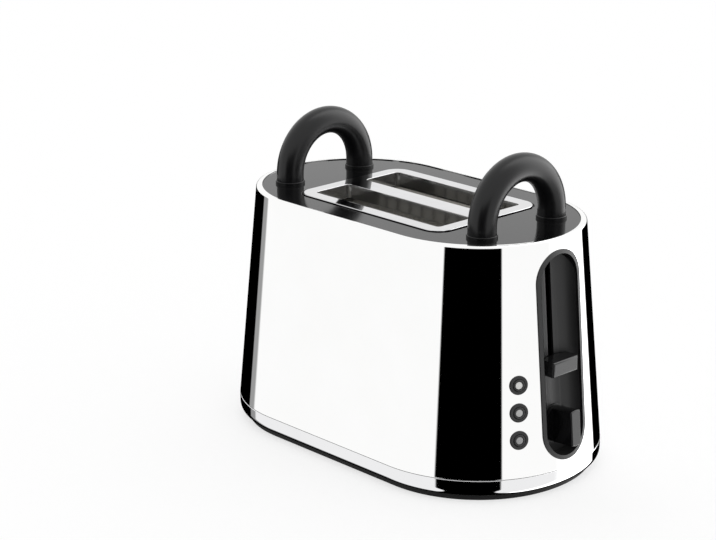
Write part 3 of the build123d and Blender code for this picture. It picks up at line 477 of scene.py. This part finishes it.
def flattened(mesh):
    """Mesh whose corner normals follow its largest faces, so that a flat face beside a bevel stays flat."""
    piece = in_scene(mesh.name, mesh)
    modifier = piece.modifiers.new("weigh", "WEIGHTED_NORMAL")
    modifier.keep_sharp = True
    modifier.weight = 100
    result = applied(piece, mesh.name)
    bpy.data.objects.remove(piece)
    return result


def prism(outline, z0, z1, matrix=np.eye(4)):
    """Closed block of an outline between two heights of its frame, used as a cutting tool."""
    ring = np.asarray(outline, float)
    count = len(ring)
    points = np.concatenate([np.c_[ring, np.full(count, z0)], np.c_[ring, np.full(count, z1)]])
    points = (points @ matrix[:3, :3].T + matrix[:3, 3]) * MM
    index = np.arange(count)
    after = np.roll(index, -1)
    sides = np.stack([index, after, after + count, index + count], 1).tolist()
    mesh = bpy.data.meshes.new("tool")
    mesh.from_pydata(points.tolist(), [], sides + [index[::-1].tolist(), (index + count).tolist()])
    mesh.update()
    return mesh


def square(x0, x1, y0, y1):
    """Corners of an upright block's outline."""
    return [(x0, y0), (x1, y0), (x1, y1), (x0, y1)]


def disc(radius, steps=CIRCLE_STEPS, centre=(0, 0)):
    """Corners of a round outline."""
    angles = np.linspace(0, 2 * pi, steps, endpoint=False)
    return np.stack([centre[0] + radius * np.cos(angles), centre[1] + radius * np.sin(angles)], 1)


def stadium(width, height, steps=32):
    """Corners of an upright outline with round ends."""
    radius = width / 2
    top = np.linspace(0, pi, steps + 1)
    rise = height / 2 - radius
    upper = np.stack([radius * np.cos(top), rise + radius * np.sin(top)], 1)
    return np.concatenate([upper, -upper])


def dressed(name, slot, edge=0.0, smooth=30.0):
    """Copy of a CAD node with its loose triangles joined, its flat faces cleared and its edges eased.

    An edge counts as sharp where its faces meet at more than the angle smooth, in degrees.
    """
    node = frame["nodes"][name]
    mesh = node.data.copy()
    mesh.name = name + "_dressed"
    mesh.materials.clear()
    work = bmesh.new()
    work.from_mesh(mesh)
    bmesh.ops.remove_doubles(work, verts=work.verts, dist=JOIN_GAP)
    bmesh.ops.dissolve_limit(
        work, angle_limit=FLAT_ANGLE, use_dissolve_boundaries=False, verts=work.verts, edges=work.edges
    )
    if edge:
        sharp = [e for e in work.edges if len(e.link_faces) == 2 and e.calc_face_angle(0) > radians(smooth)]
        bmesh.ops.bevel(
            work,
            geom=sharp,
            offset=edge * MM,
            segments=2,
            profile=0.5,
            affect="EDGES",
            clamp_overlap=True,
        )
    work.to_mesh(mesh)
    work.free()
    if "custom_normal" in mesh.attributes:
        mesh.attributes.remove(mesh.attributes["custom_normal"])
    mesh.shade_smooth()
    mesh.set_sharp_from_angle(angle=radians(smooth))
    return show(flattened(mesh), slot, node["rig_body"], name)


# Finishes


def linear(code):
    """Linear colour of an sRGB hex value."""
    parts = np.array([int(code[k : k + 2], 16) / 255 for k in (1, 3, 5)])
    parts = np.where(parts <= 0.04045, parts / 12.92, ((parts + 0.055) / 1.055) ** 2.4)
    return (*parts.tolist(), 1.0)


def add(tree, kind, inputs=None, **settings):
    """Adds a node, sets its options, and gives each input a value or the output that feeds it."""
    made = tree.nodes.new(kind)
    for key, value in settings.items():
        setattr(made, key, value)
    for key, value in (inputs or {}).items():
        if isinstance(value, bpy.types.NodeSocket):
            tree.links.new(value, made.inputs[key])
        else:
            made.inputs[key].default_value = value
    return made


def new_material(name):
    """Empty material with its output, its shader and Object coordinates."""
    material = bpy.data.materials.new(name)
    material.use_nodes = True
    tree = material.node_tree
    tree.nodes.clear()
    place = add(tree, "ShaderNodeTexCoord").outputs["Object"]
    shader = add(tree, "ShaderNodeBsdfPrincipled")
    add(tree, "ShaderNodeOutputMaterial", {"Surface": shader.outputs[0]})
    return material, tree, place, shader


def shade_between(tree, shader, factor, low, high):
    """Base colour that goes from one colour to another with a factor."""
    ramp = add(tree, "ShaderNodeMix", {"Factor": factor}, data_type="RGBA")
    ramp.inputs[6].default_value, ramp.inputs[7].default_value = linear(low), linear(high)
    tree.links.new(ramp.outputs[2], shader.inputs["Base Color"])


def roughness_between(tree, shader, factor, low, high, start=0.0, end=1.0):
    """Roughness that goes from one value to another while the factor goes from start to end."""
    inputs = {"Value": factor, "From Min": start, "From Max": end, "To Min": low, "To Max": high}
    rough = add(tree, "ShaderNodeMapRange", inputs)
    tree.links.new(rough.outputs[0], shader.inputs["Roughness"])


def bumped(tree, shader, height, strength, depth_mm):
    """Fine relief of a height that is too small to model."""
    bump = add(tree, "ShaderNodeBump", {"Height": height, "Strength": strength, "Distance": depth_mm * MM})
    tree.links.new(bump.outputs[0], shader.inputs["Normal"])


def noise(tree, place, scale, detail):
    """Cloudy factor from 0 to 1."""
    made = add(tree, "ShaderNodeTexNoise", {"Vector": place, "Scale": scale, "Detail": detail})
    return made.outputs["Fac"]


def polished_metal(name, low, high, roughness, haze):
    """Buffed metal: a cloudy buffing haze in its roughness and colour."""
    material, tree, place, shader = new_material(name)
    shader.inputs["Metallic"].default_value = 1.0
    cloud = noise(tree, place, 22.0, 3.0)
    shade_between(tree, shader, cloud, low, high)
    roughness_between(tree, shader, cloud, roughness, haze)
    return material


def frame_metal(name, low, high, sharp, satin, change_mm):
    """Plate that is mirror-bright on the frame's top and satin on the skirts drawn down from it."""
    material, tree, place, shader = new_material(name)
    shader.inputs["Metallic"].default_value = 1.0
    shade_between(tree, shader, noise(tree, place, 60.0, 3.0), low, high)
    height = add(tree, "ShaderNodeSeparateXYZ", {"Vector": place}).outputs["Z"]
    roughness_between(tree, shader, height, satin, sharp, (change_mm - 1) * MM, change_mm * MM)
    return material


def plain_metal(name, low, high, roughness, stretch, grain_mm, depth_mm):
    """Rolled, ground or plated metal: streaks drawn out along one axis give its colour and grain."""
    material, tree, place, shader = new_material(name)
    shader.inputs["Metallic"].default_value = 1.0
    drawn = add(tree, "ShaderNodeMapping", {"Vector": place, "Scale": stretch}).outputs[0]
    grain = noise(tree, drawn, 1 / (grain_mm * MM), 2.0)
    shade_between(tree, shader, grain, low, high)
    roughness_between(tree, shader, grain, roughness - 0.06, roughness + 0.08)
    bumped(tree, shader, grain, 0.5, depth_mm)
    return material


def moulded(name, low, high, roughness, grain_mm, depth_mm, spread=0.06, ior=1.5):
    """Moulded plastic or rubber: the tool's fine spark grain, and cloudy wear in colour and gloss."""
    material, tree, place, shader = new_material(name)
    shader.inputs["IOR"].default_value = ior
    cloud = noise(tree, place, 30.0, 4.0)
    shade_between(tree, shader, cloud, low, high)
    roughness_between(tree, shader, cloud, roughness - spread, roughness + spread)
    bumped(tree, shader, noise(tree, place, 1 / (grain_mm * MM), 1.0), 0.35, depth_mm)
    return material


def layered(name, low, high, roughness, scale, sheen):
    """Mica or laminate: flakes of uneven tone under a thin glossy layer."""
    material, tree, place, shader = new_material(name)
    flakes = add(tree, "ShaderNodeTexVoronoi", {"Vector": place, "Scale": scale})
    cloud = add(tree, "ShaderNodeTexNoise", {"Vector": flakes.outputs["Color"], "Scale": 3.0})
    shade_between(tree, shader, cloud.outputs["Fac"], low, high)
    shader.inputs["Roughness"].default_value = roughness
    shader.inputs["Coat Weight"].default_value = sheen
    return material


FINISH = {
    # Stainless steel sheet, buffed to a mirror: near-white reflections and hardly any haze
    "polished_steel": polished_metal("mirror_polished_stainless", "#f9f9f8", "#fdfdfd", 0.02, 0.035),
    # Chrome plate over nickel: as sharp, a little greyer
    "bright_chrome": polished_metal("chrome_plate", "#e9e9ea", "#f0f0f1", 0.03, 0.06),
    # The same plate on the slot frame, whose skirts keep the press's satin surface
    "frame_chrome": frame_metal("chrome_plate_on_frame", "#d6d6d7", "#e2e2e3", 0.05, 0.13, BODY_TOP),
    # ABS from a polished tool: near black, with a low index that keeps its mirror image of the room weak
    "lid_black": moulded("glossy_black_abs", "#09090a", "#0e0e0f", 0.11, 0.6, 0.004, 0.03, 1.36),
    # Glass-filled nylon, satin: broad soft highlights on the arches
    "handle_black": moulded("satin_black_nylon", "#08080a", "#0e0e0f", 0.3, 0.5, 0.02, 0.05, 1.42),
    # Soft rubber foot: the dullest black
    "soft_black": moulded("matt_black_rubber", "#050505", "#0a0a0a", 0.8, 0.5, 0.03),
    # Polypropylene floor with an etched, matt surface
    "base_black": moulded("matt_black_polypropylene", "#161617", "#1e1e1f", 0.5, 0.6, 0.03),
    # ABS of the recess, lever, rings and caps, from satin to the knob's gloss
    "recess_grey": moulded("semi_gloss_charcoal_abs", "#0e0e0f", "#141415", 0.38, 0.5, 0.01),
    "control_black": moulded("semi_gloss_black_controls", "#151516", "#1b1b1c", 0.24, 0.5, 0.01),
    "knob_black": moulded("glossy_black_knob", "#070708", "#0c0c0d", 0.18, 0.5, 0.006),
    # Clear ABS over silver ink, and the inlays: one pale grey in three shades, lightest on the top one and
    # darker down the row, as painted light and shade
    "cap_grey": moulded("satin_silver_cap", "#b4b4b4", "#c4c4c4", 0.3, 0.5, 0.01),
    "inlay_top": moulded("inlay_painted_top_light", "#c6c6c4", "#d4d4d2", 0.25, 0.4, 0.01),
    "inlay_middle": moulded("inlay_painted_middle_shade", "#9e9e9d", "#acacab", 0.25, 0.4, 0.01),
    "inlay_bottom": moulded("inlay_painted_bottom_shade", "#8a8a8a", "#989898", 0.25, 0.4, 0.01),
    # Cold-rolled sheet with long streaks from the mill, ground rod, and zinc-plated screws
    "sheet_steel": plain_metal("cold_rolled_sheet", "#8f8f8d", "#a9a9a7", 0.3, (1, 8, 8), 3.0, 0.01),
    "rod_steel": plain_metal("ground_steel_rod", "#b6b6b6", "#cacaca", 0.18, (8, 8, 1), 2.0, 0.005),
    "screw_steel": plain_metal("zinc_plated_steel", "#a3a5a8", "#bcbdbf", 0.3, (1, 1, 1), 1.0, 0.01),
    # Glass-filled nylon that stands the heat of the chamber
    "carriage_grey": moulded("heat_proof_grey_nylon", "#55565a", "#606166", 0.45, 0.6, 0.03),
    # Mica sheet, and the iron-chrome ribbon on it that heat has dulled
    "mica": layered("mica_sheet", "#a5a29b", "#c9c6bf", 0.4, 260.0, 0.3),
    "ribbon_alloy": plain_metal("resistance_ribbon", "#6b625c", "#857a72", 0.45, (1, 6, 6), 2.0, 0.01),
    # Bare aluminium sheet of the crumb tray
    "tray_aluminium": plain_metal("plain_aluminium", "#c2c3c5", "#d6d7d8", 0.3, (1, 10, 10), 3.0, 0.01),
    # Magnet winding, circuit board, its components and the terminal block
    "coil_copper": plain_metal("lacquered_copper", "#b06a3c", "#c98253", 0.28, (6, 6, 60), 1.0, 0.05),
    "board_green": layered("glass_epoxy_board", "#1f5a33", "#2b6e41", 0.35, 500.0, 0.2),
    "part_black": moulded("moulded_component", "#232324", "#303032", 0.4, 0.5, 0.02),
    "terminal_cream": moulded("cream_nylon", "#c9c1ab", "#d6cfba", 0.4, 0.6, 0.02),
}

slots = {row["node"]: row["material_slot"] for row in frame["record"]["subparts"]}
for name, node in frame["nodes"].items():
    node.data.materials.clear()
    node.data.materials.append(FINISH[slots[name]])


# Steel body


def local_frame(x, y, z, across, out):
    """4 by 4 matrix of a frame on the wall: x across it, z out of it."""
    across, out = np.array(across, float), np.array(out, float)
    matrix = np.eye(4)
    matrix[:3, 0], matrix[:3, 1], matrix[:3, 2] = across, np.cross(out, across), out
    matrix[:3, 3] = (x, y, z)
    return matrix


def end_frame(z):
    """Frame in the middle of the lever end."""
    x = BODY_LENGTH / 2 - (z - SEAM_Z) * DRAFT
    return local_frame(x, 0, z, (0, 1, 0), (cos(LEAN), 0, sin(LEAN)))


def button_frames():
    """Frames of the three push buttons, from the top one down."""
    radius = CORNER_RADIUS - (BUTTON_Z - SEAM_Z) * DRAFT
    x, y = CORNER_X + radius * cos(BUTTON_ANGLE), -CORNER_OFFSET - radius * sin(BUTTON_ANGLE)
    out = (cos(BUTTON_ANGLE) * cos(LEAN), -sin(BUTTON_ANGLE) * cos(LEAN), sin(LEAN))
    middle = local_frame(x, y, BUTTON_Z, (sin(BUTTON_ANGLE), cos(BUTTON_ANGLE), 0), out)
    frames = []
    for step in (1, 0, -1):
        moved = middle.copy()
        moved[:3, 3] += middle[:3, 1] * step * BUTTON_STEP
        frames.append(moved)
    return frames


def inlet_frame():
    """Frame of the cord bush on the rear side."""
    y = BODY_WIDTH / 2 - (INLET_Z - SEAM_Z) * DRAFT
    return local_frame(INLET_X, y, INLET_Z, (1, 0, 0), (0, cos(LEAN), sin(LEAN)))


RECESS = end_frame(RECESS_Z)
BUTTONS = dict(zip(("top", "middle", "bottom"), button_frames()))
INLET = inlet_frame()


def steel_shell():
    """Drafted wall with its top edge rolled in to the lid's opening, whose edge is eased.

    The wall is one profile carried along the body's outline, the opening's edge is one along the
    lid's outline, and flat rings join them.
    """
    foot_inset = (SHELL_FOOT - SEAM_Z) * DRAFT
    inner_top = BODY_TOP - SHELL_WALL
    lip = TOP_INSET + SHELL_TOP_ROLL
    inner_inset = (inner_top - SEAM_Z) * DRAFT + SHELL_WALL
    body, lid = body_line(), lid_line()
    wall = [(-lip, inner_top), (-inner_inset, inner_top), (-foot_inset - SHELL_WALL, SHELL_FOOT)]
    wall += [(-foot_inset, SHELL_FOOT), (-TOP_INSET, BODY_TOP), (-lip, BODY_TOP)]
    radii = [0, SHELL_TOP_ROLL - SHELL_WALL, SHEET_EDGE, SEAM_EDGE, SHELL_TOP_ROLL, 0]
    patches = swept(rounded(wall, radii, 10)[:-1], body)
    rim = LID_OPENING_RIM
    edge = [(rim, BODY_TOP), (0, BODY_TOP), (0, inner_top), (rim, inner_top)]
    patches += swept(rounded(edge, [0, LID_OPENING_EDGE, 0, 0], 3)[:-1], lid)
    flats = []
    for z, up in ((BODY_TOP, True), (inner_top, False)):
        flats.append(filled([body[0] - lip * body[1], lid[0] + rim * lid[1]], z, up))
    mesh = make_mesh("steel_shell", patches, flats)
    recess = stadium(RECESS_CUT_WIDTH, RECESS_CUT_HEIGHT)
    tools = [prism(recess, -RECESS_CUT_REACH, RECESS_CUT_REACH, RECESS)]
    for place in BUTTONS.values():
        tools.append(prism(disc(BUTTON_HOLE), -BUTTON_CUT_REACH, BUTTON_CUT_REACH, place))
    tools.append(prism(disc(INLET_HOLE), -INLET_CUT_REACH, INLET_CUT_REACH, INLET))
    show(cut(mesh, *tools), "polished_steel", BODY, "outer_shell")


def foot_band():
    """Bright ring rolled in towards the table, with its top edge eased at the seam."""
    floor_top = RING_BOTTOM + RING_WALL
    corners = [(0, RING_BOTTOM), (0, RING_TOP), (-RING_WALL, RING_TOP), (-RING_WALL, floor_top)]
    corners += [(-RING_LIP_INSET, floor_top), (-RING_LIP_INSET, RING_BOTTOM)]
    radii = [RING_ROLL, SEAM_EDGE, SHEET_EDGE, RING_ROLL - RING_WALL, 0, SHEET_EDGE]
    mesh = make_mesh("chrome_base_ring", swept(rounded(corners, radii, 10), body_line()))
    half = TRAY_FRONT_HALF + TRAY_FRONT_FIT
    outline = square(-PAST_BODY, TRAY_CUT_X, -half, half)
    tool = prism(outline, TRAY_FRONT_LOW - TRAY_FRONT_FIT, RING_CUT_TOP)
    show(cut(mesh, tool), "bright_chrome", BODY, "base_ring")


def tray_face():
    """Bright front of the crumb tray: a piece of the ring's own shape, with a scoop to pull it by."""
    corners = [(0, RING_BOTTOM), (0, RING_TOP), (-TRAY_FRONT_DEPTH, RING_TOP)]
    corners += [(-TRAY_FRONT_DEPTH, RING_BOTTOM)]
    radii = [RING_ROLL, SEAM_EDGE, SHEET_EDGE, SHEET_EDGE]
    mesh = make_mesh("tray_front_blank", swept(rounded(corners, radii, 10), body_line()))
    front = square(-PAST_BODY, 0, -TRAY_FRONT_HALF, TRAY_FRONT_HALF)
    mesh = cut(mesh, prism(front, TRAY_FRONT_LOW, TRAY_FRONT_CUT_TOP), keep=True)
    scoop = local_frame(-BODY_LENGTH / 2 + SCOOP_DEPTH, 0, SCOOP_Z, (0, -1, 0), (-1, 0, 0))
    outline = stadium(SCOOP_HEIGHT, SCOOP_WIDTH)[:, ::-1]
    mesh = cut(mesh, prism(outline, 0, SCOOP_CUT_REACH, scoop))
    mesh.name = "crumb_tray_face"
    show(mesh, "bright_chrome", "crumb_tray", "crumb_tray_front")


def soft_foot():
    """Rubber ring under the body, with its lower edges rounded and a sunk hole for each screw."""
    corners = [(-FOOT_OUTSIDE, 0), (-FOOT_OUTSIDE, FOOT_TOP), (-FOOT_INSIDE, FOOT_TOP), (-FOOT_INSIDE, 0)]
    mesh = make_mesh("rubber_foot", swept(rounded(corners, [FOOT_EDGE, 0.2, 0, 0.4], 6), body_line()))
    radius, side = CORNER_RADIUS - FOOT_SCREW_INSET, BODY_WIDTH / 2 - FOOT_SCREW_INSET
    x, y = CORNER_X + radius * cos(pi / 4), CORNER_OFFSET + radius * sin(pi / 4)
    places = [(0, side), (0, -side), (x, y), (x, -y), (-x, y), (-x, -y)]
    tools = [prism(disc(FOOT_HEAD_RADIUS, 24, place), -1, FOOT_HEAD_DEPTH) for place in places]
    tools += [prism(disc(FOOT_SCREW_RADIUS, 16, place), 2, 6) for place in places]
    show(cut(mesh, *tools), "soft_black", BODY, "foot_ring")


steel_shell()
foot_band()
tray_face()
soft_foot()


# Lid, slot frame and handles


def bright_slot_frame():
    """Low frame with an eased edge, and a skirt in each slot that meets it in a small roll."""
    top, under, drop = LID_TOP + FRAME_RISE, LID_TOP, LID_TOP - SKIRT_DEPTH
    outer = box_line(FRAME_LENGTH, FRAME_WIDTH, FRAME_CORNER, steps=16)
    corners = [(-FRAME_RIM, under), (0, under), (0, top), (-FRAME_RIM, top)]
    patches = swept(rounded(corners, [0, 0, FRAME_EDGE, 0], 5)[:-1], outer)
    inset = outer[0] - FRAME_RIM * outer[1]
    profile = [(SLOT_ROLL, top), (0, top), (0, drop), (SKIRT_WALL, drop), (SKIRT_WALL, under)]
    skirt = rounded(profile, [0, SLOT_ROLL, SKIRT_EDGE, SKIRT_EDGE, 0], 5)[:-1]
    openings, sleeves = [], []
    for y in (-SLOT_HALF_PITCH, SLOT_HALF_PITCH):
        line = box_line(SLOT_LENGTH, SLOT_WIDTH, SLOT_CORNER, (0, y))
        openings.append(line[0] + SLOT_ROLL * line[1])
        sleeves.append(line[0] + SKIRT_WALL * line[1])
        patches += swept(skirt, line)
    flats = [filled([inset] + openings, top, True), filled([inset] + sleeves, under, False)]
    show(make_mesh("chrome_slot_frame", patches, flats), "frame_chrome", BODY, "slot_frame")


def arch(name, x, node):
    """Tube bent to an arch: a circle carried up one leg, round a half circle and down the other."""
    bend = np.linspace(0, pi, CIRCLE_STEPS + 1)
    legs = np.array([LID_TOP, LEG_RING_Z])
    y = np.concatenate([np.full(2, HANDLE_HALF), HANDLE_HALF * np.cos(bend), np.full(2, -HANDLE_HALF)])
    z = np.concatenate([legs, HANDLE_KNEE_Z + HANDLE_HALF * np.sin(bend), legs[::-1]])
    lean = np.concatenate([np.zeros(2), bend, np.full(2, pi)])
    side = np.stack([0 * lean, np.cos(lean), np.sin(lean)], 1)[:, None]
    turn = np.linspace(0, 2 * pi, CIRCLE_STEPS + 1)[None, :, None]
    normals = np.cos(turn) * side + np.sin(turn) * np.array([1.0, 0, 0])
    points = np.stack([np.full_like(y, x), y, z], 1)[:, None] + HANDLE_TUBE_RADIUS * normals
    patches = [(points, normals)]
    for end in (0, -1):
        middle = np.broadcast_to([x, y[end], LID_TOP], points[end].shape)
        down = np.broadcast_to([0.0, 0.0, -1.0], points[end].shape)
        patches.append((np.stack([points[end], middle]), np.stack([down, down])))
    show(make_mesh(name, patches), "handle_black", BODY, node)


def leg_collars():
    """Ring with a rounded top at the foot of each leg."""
    top = LID_TOP + COLLAR_HEIGHT
    profile = [(COLLAR_BORE, LID_TOP), (COLLAR_RADIUS, LID_TOP), (COLLAR_RADIUS, top), (COLLAR_BORE, top)]
    collar = turned(profile, [0, 0, COLLAR_EDGE, 0.15])
    patches = []
    for x in (-HANDLE_X, HANDLE_X):
        for y in (-HANDLE_HALF, HANDLE_HALF):
            matrix = np.eye(4)
            matrix[:3, 3] = (x, y, 0)
            patches += placed(collar, matrix)
    show(make_mesh("leg_collars", patches), "handle_black", BODY, "handle_collars")


bright_slot_frame()
arch("tray_end_arch", -HANDLE_X, "handle_tray_end")
arch("lever_end_arch", HANDLE_X, "handle_lever_end")
leg_collars()
dressed("top_cover", "lid_black", 0.4)


# Recess, lever, knob and buttons


def button_rings():
    """Dark ring round each button: a rounded flange and a sleeve with an eased mouth."""
    profile = [(CAP_BORE, -BEZEL_DEPTH), (BEZEL_TUBE_RADIUS, -BEZEL_DEPTH), (BEZEL_TUBE_RADIUS, BEZEL_SEAT)]
    profile += [(BEZEL_RADIUS, BEZEL_SEAT), (BEZEL_RADIUS, BEZEL_PROUD), (CAP_BORE, BEZEL_PROUD)]
    ring = turned(profile, [0, 0, 0, 0.1, BEZEL_EDGE, 0.35])
    patches = []
    for place in BUTTONS.values():
        patches += placed(ring, place)
    show(make_mesh("button_rings", patches), "control_black", BODY, "button_bezels")


def push_button(name, place):
    """Dark cap with a rounded rim, a sunk seat and a stem, and the pale domed inlay in the seat."""
    profile = [(0, -STEM_DEPTH), (STEM_RADIUS, -STEM_DEPTH), (STEM_RADIUS, -CAP_DEPTH)]
    profile += [(CAP_RADIUS, -CAP_DEPTH), (CAP_RADIUS, CAP_PROUD), (INLAY_SEAT, CAP_PROUD + 0.1)]
    profile += [(INLAY_SEAT, INLAY_FLOOR), (0, INLAY_FLOOR)]
    cap = turned(profile, [0, 0.2, 0, 0, CAP_EDGE, 0.15, 0, 0], 40, 6)
    body = f"button_{name}"
    show(make_mesh(f"push_button_{name}", placed(cap, place)), "control_black", body, body)
    radius, foot, brim, crown = INLAY_SEAT - INLAY_FIT, INLAY_FLOOR + 0.02, 1.05, 1.35
    inlay = turned([(0, foot), (radius, foot), (radius, brim), (0, crown)], [0, 0, 0.3, 0], 40, 6)
    # Each inlay takes its own shade of one pale grey: painted light on the top button, painted shade on the
    # lower two
    show(make_mesh(f"button_inlay_{name}", placed(inlay, place)), f"inlay_{name}", body)


def lift_coil():
    """Round wire wound up a helix: the centre climbs steadily, and each end turn lies flat.

    A ring round the wire is its radius times the cosine of an angle outwards plus the sine along
    the cross product of the wire's direction and the way out.
    """
    t = np.linspace(0, 1, SPRING_TURNS * SPRING_TURN_STEPS + 1)
    angle = 2 * pi * SPRING_TURNS * t
    climb = np.clip((t - 1 / SPRING_TURNS) / (1 - 2 / SPRING_TURNS), 0, 1)
    z = SPRING_LOW + (SPRING_HIGH - SPRING_LOW) * climb
    out = np.stack([np.cos(angle), np.sin(angle), 0 * t], 1)
    centre = SPRING_COIL_RADIUS * out + np.stack([np.full_like(t, SPRING_X), 0 * t, z], 1)
    way = np.gradient(centre, axis=0)
    way /= np.linalg.norm(way, axis=1)[:, None]
    up = np.cross(way, out)
    up /= np.linalg.norm(up, axis=1)[:, None]
    ring = np.linspace(0, 2 * pi, 9)[None, :, None]
    normals = np.cos(ring) * out[:, None] + np.sin(ring) * up[:, None]
    points = centre[:, None] + SPRING_WIRE_RADIUS * normals
    patches = [(points, normals)]
    for end, sign in ((0, -1), (-1, 1)):
        middle = np.broadcast_to(centre[end], points[end].shape)
        face = np.broadcast_to(sign * way[end], points[end].shape)
        patches.append((np.stack([points[end], middle]), np.stack([face, face])))
    return show(make_mesh("lift_coil", patches), "rod_steel", BODY, "lift_spring")


# The spring hangs from the lid at 176.8 mm and is pressed from 112.8 mm to 42.8 mm as the slide rises
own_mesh(lift_coil())
dressed("control_liner", "recess_grey", 0.25, 32.0)
dressed("cord_inlet", "base_black", 0.3, 32.0)
dressed("lever_knob", "control_black", 0.0, 40.0)
dressed("browning_knob", "knob_black", 0.25, 32.0)
button_rings()
for name, place in BUTTONS.items():
    push_button(name, place)


# Studio and camera


def studio_world():
    """Even white studio with the dark screens that the polished body shows.

    Light reaches the object evenly from all round. Glossy reflections also find a dark screen on
    the near side, up to 20 degrees above the table, a dark far side below the table's level with a
    grey stretch at its left, and a brighter stretch on the right that lights the recess. All stand
    at fixed bearings in the room. Towards straight down, the near screen narrows to a strip.
    """
    world = bpy.data.worlds.new("studio")
    bpy.context.scene.world = world
    world.use_nodes = True
    tree = world.node_tree
    tree.nodes.clear()
    way = add(tree, "ShaderNodeTexCoord").outputs["Generated"]
    parts = add(tree, "ShaderNodeSeparateXYZ", {"Vector": way})
    level = add(tree, "ShaderNodeCombineXYZ", {"X": parts.outputs["X"], "Y": parts.outputs["Y"]})
    towards = np.array(CAMERA_PLACE[:2]) / np.linalg.norm(CAMERA_PLACE[:2])

    def along(x, y):
        return add(
            tree, "ShaderNodeVectorMath", {0: level.outputs[0], 1: (x, y, 0)}, operation="DOT_PRODUCT"
        ).outputs["Value"]

    facing, beside = along(*towards), along(-towards[1], towards[0])
    bearing = add(tree, "ShaderNodeMath", {0: beside, 1: facing}, operation="ARCTAN2").outputs[0]
    height = parts.outputs["Z"]

    def between(value, low, high, start, end):
        return add(
            tree, "ShaderNodeMapRange",
            {"Value": value, "From Min": low, "From Max": high, "To Min": start, "To Max": end},
            interpolation_type="SMOOTHSTEP",
        ).outputs[0]

    def past(angle, soft, start, end):
        return between(bearing, radians(angle - soft), radians(angle + soft), start, end)

    def combined(first, second, operation):
        return add(tree, "ShaderNodeMath", {0: first, 1: second}, operation=operation).outputs[0]

    left, right = past(SCREEN_LEFT, SCREEN_SOFT, 0, 1), past(SCREEN_RIGHT, SCREEN_SOFT, 1, 0)
    near = combined(left, right, "MULTIPLY")
    near = combined(near, between(height, STRIP_SOFT_TOP, STRIP_TOP, 0, 1), "MULTIPLY")
    top = [sin(radians(SCREEN_TOP_ANGLE + side)) for side in (-SCREEN_SOFT_ANGLE, SCREEN_SOFT_ANGLE)]
    screen = combined(near, between(height, *top, 1, 0), "MULTIPLY")
    across = atan2(towards[1], towards[0]) + radians((SCREEN_LEFT + SCREEN_RIGHT) / 2) + pi / 2
    spread = add(tree, "ShaderNodeMath", {0: along(cos(across), sin(across))}, operation="ABSOLUTE")
    reach = between(height, -1.0, STRIP_TOP, STRIP_HALF_DOWN, STRIP_HALF_TOP)
    inside = between(combined(reach, spread.outputs[0], "SUBTRACT"), -STRIP_SOFT, STRIP_SOFT, 0, 1)
    strip = combined(inside, between(height, STRIP_SOFT_TOP, STRIP_TOP, 1, 0), "MULTIPLY")
    screen = combined(screen, strip, "ADD")
    far = combined(past(FAR_LEFT, FAR_SOFT, 1, 0), past(FAR_RIGHT, FAR_SOFT, 0, 1), "MAXIMUM")
    far = combined(far, past(FAR_GREY, FAR_SOFT, FAR_GREY_SHADE, 0), "MAXIMUM")
    far = combined(far, between(height, FAR_SOFT_HEIGHT, 0.0, 1, 0), "MULTIPLY")
    dark = combined(screen, far, "MAXIMUM")
    left, right = past(LAMP_LEFT, LAMP_SOFT, 0, LAMP_GAIN), past(LAMP_RIGHT, LAMP_SOFT, 1, 0)
    lamp = combined(left, right, "MULTIPLY")
    bright = combined(combined(1.0, lamp, "ADD"), combined(1.0, dark, "SUBTRACT"), "MULTIPLY")
    room = add(tree, "ShaderNodeBackground", {"Color": (1, 1, 1, 1), "Strength": bright})
    even = add(tree, "ShaderNodeBackground", {"Color": (1, 1, 1, 1), "Strength": EVEN_LIGHT})
    glossy = add(tree, "ShaderNodeLightPath").outputs["Is Glossy Ray"]
    mixed = add(tree, "ShaderNodeMixShader", {0: glossy, 1: even.outputs[0], 2: room.outputs[0]})
    add(tree, "ShaderNodeOutputWorld", {"Surface": mixed.outputs[0]})


def floor():
    """Plain pale table that keeps a light shadow; polished metal looks past it to the white room."""
    mesh = bpy.data.meshes.new("table_top")
    corners = [(x, y, 0) for x, y in square(-TABLE_HALF, TABLE_HALF, -TABLE_HALF, TABLE_HALF)]
    mesh.from_pydata(corners, [], [(0, 1, 2, 3)])
    table = in_scene("table_top", mesh)
    material = bpy.data.materials.new("matt_white_table")
    material.use_nodes = True
    tree = material.node_tree
    tree.nodes.clear()
    matt = add(tree, "ShaderNodeBsdfDiffuse", {"Color": linear("#ffffff")})
    white = add(tree, "ShaderNodeEmission", {"Color": (1, 1, 1, 1), "Strength": 1.0})
    rays = add(tree, "ShaderNodeLightPath").outputs
    seen = add(tree, "ShaderNodeMath", {0: rays["Is Camera Ray"], 1: rays["Is Glossy Ray"]}, operation="ADD")
    seen = add(tree, "ShaderNodeMath", {0: seen.outputs[0], 1: rays["Is Transmission Ray"]}, operation="ADD")
    share = add(tree, "ShaderNodeMath", {0: seen.outputs[0], 1: TABLE_GLOW}, operation="MULTIPLY")
    mixed = add(tree, "ShaderNodeMixShader", {0: share.outputs[0], 1: matt.outputs[0], 2: white.outputs[0]})
    add(tree, "ShaderNodeOutputMaterial", {"Surface": mixed.outputs[0]})
    mesh.materials.append(material)
    table.visible_glossy = False


def camera():
    """Camera at the photograph's place, aimed so that the body falls where it does there."""
    data = bpy.data.cameras.new("photo_camera")
    data.sensor_width = CAMERA_SENSOR
    data.lens = CAMERA_LENS
    data.clip_end = 100.0
    eye = in_scene("photo_camera", data)
    place, aim = Vector(CAMERA_PLACE) * MM, Vector(CAMERA_AIM) * MM
    turn = (aim - place).to_track_quat("-Z", "Y").to_matrix().to_4x4()
    eye.matrix_world = Matrix.Translation(place) @ turn
    bpy.context.scene.camera = eye


studio_world()
floor()
camera()
bpy.context.scene.view_settings.view_transform = "Standard"
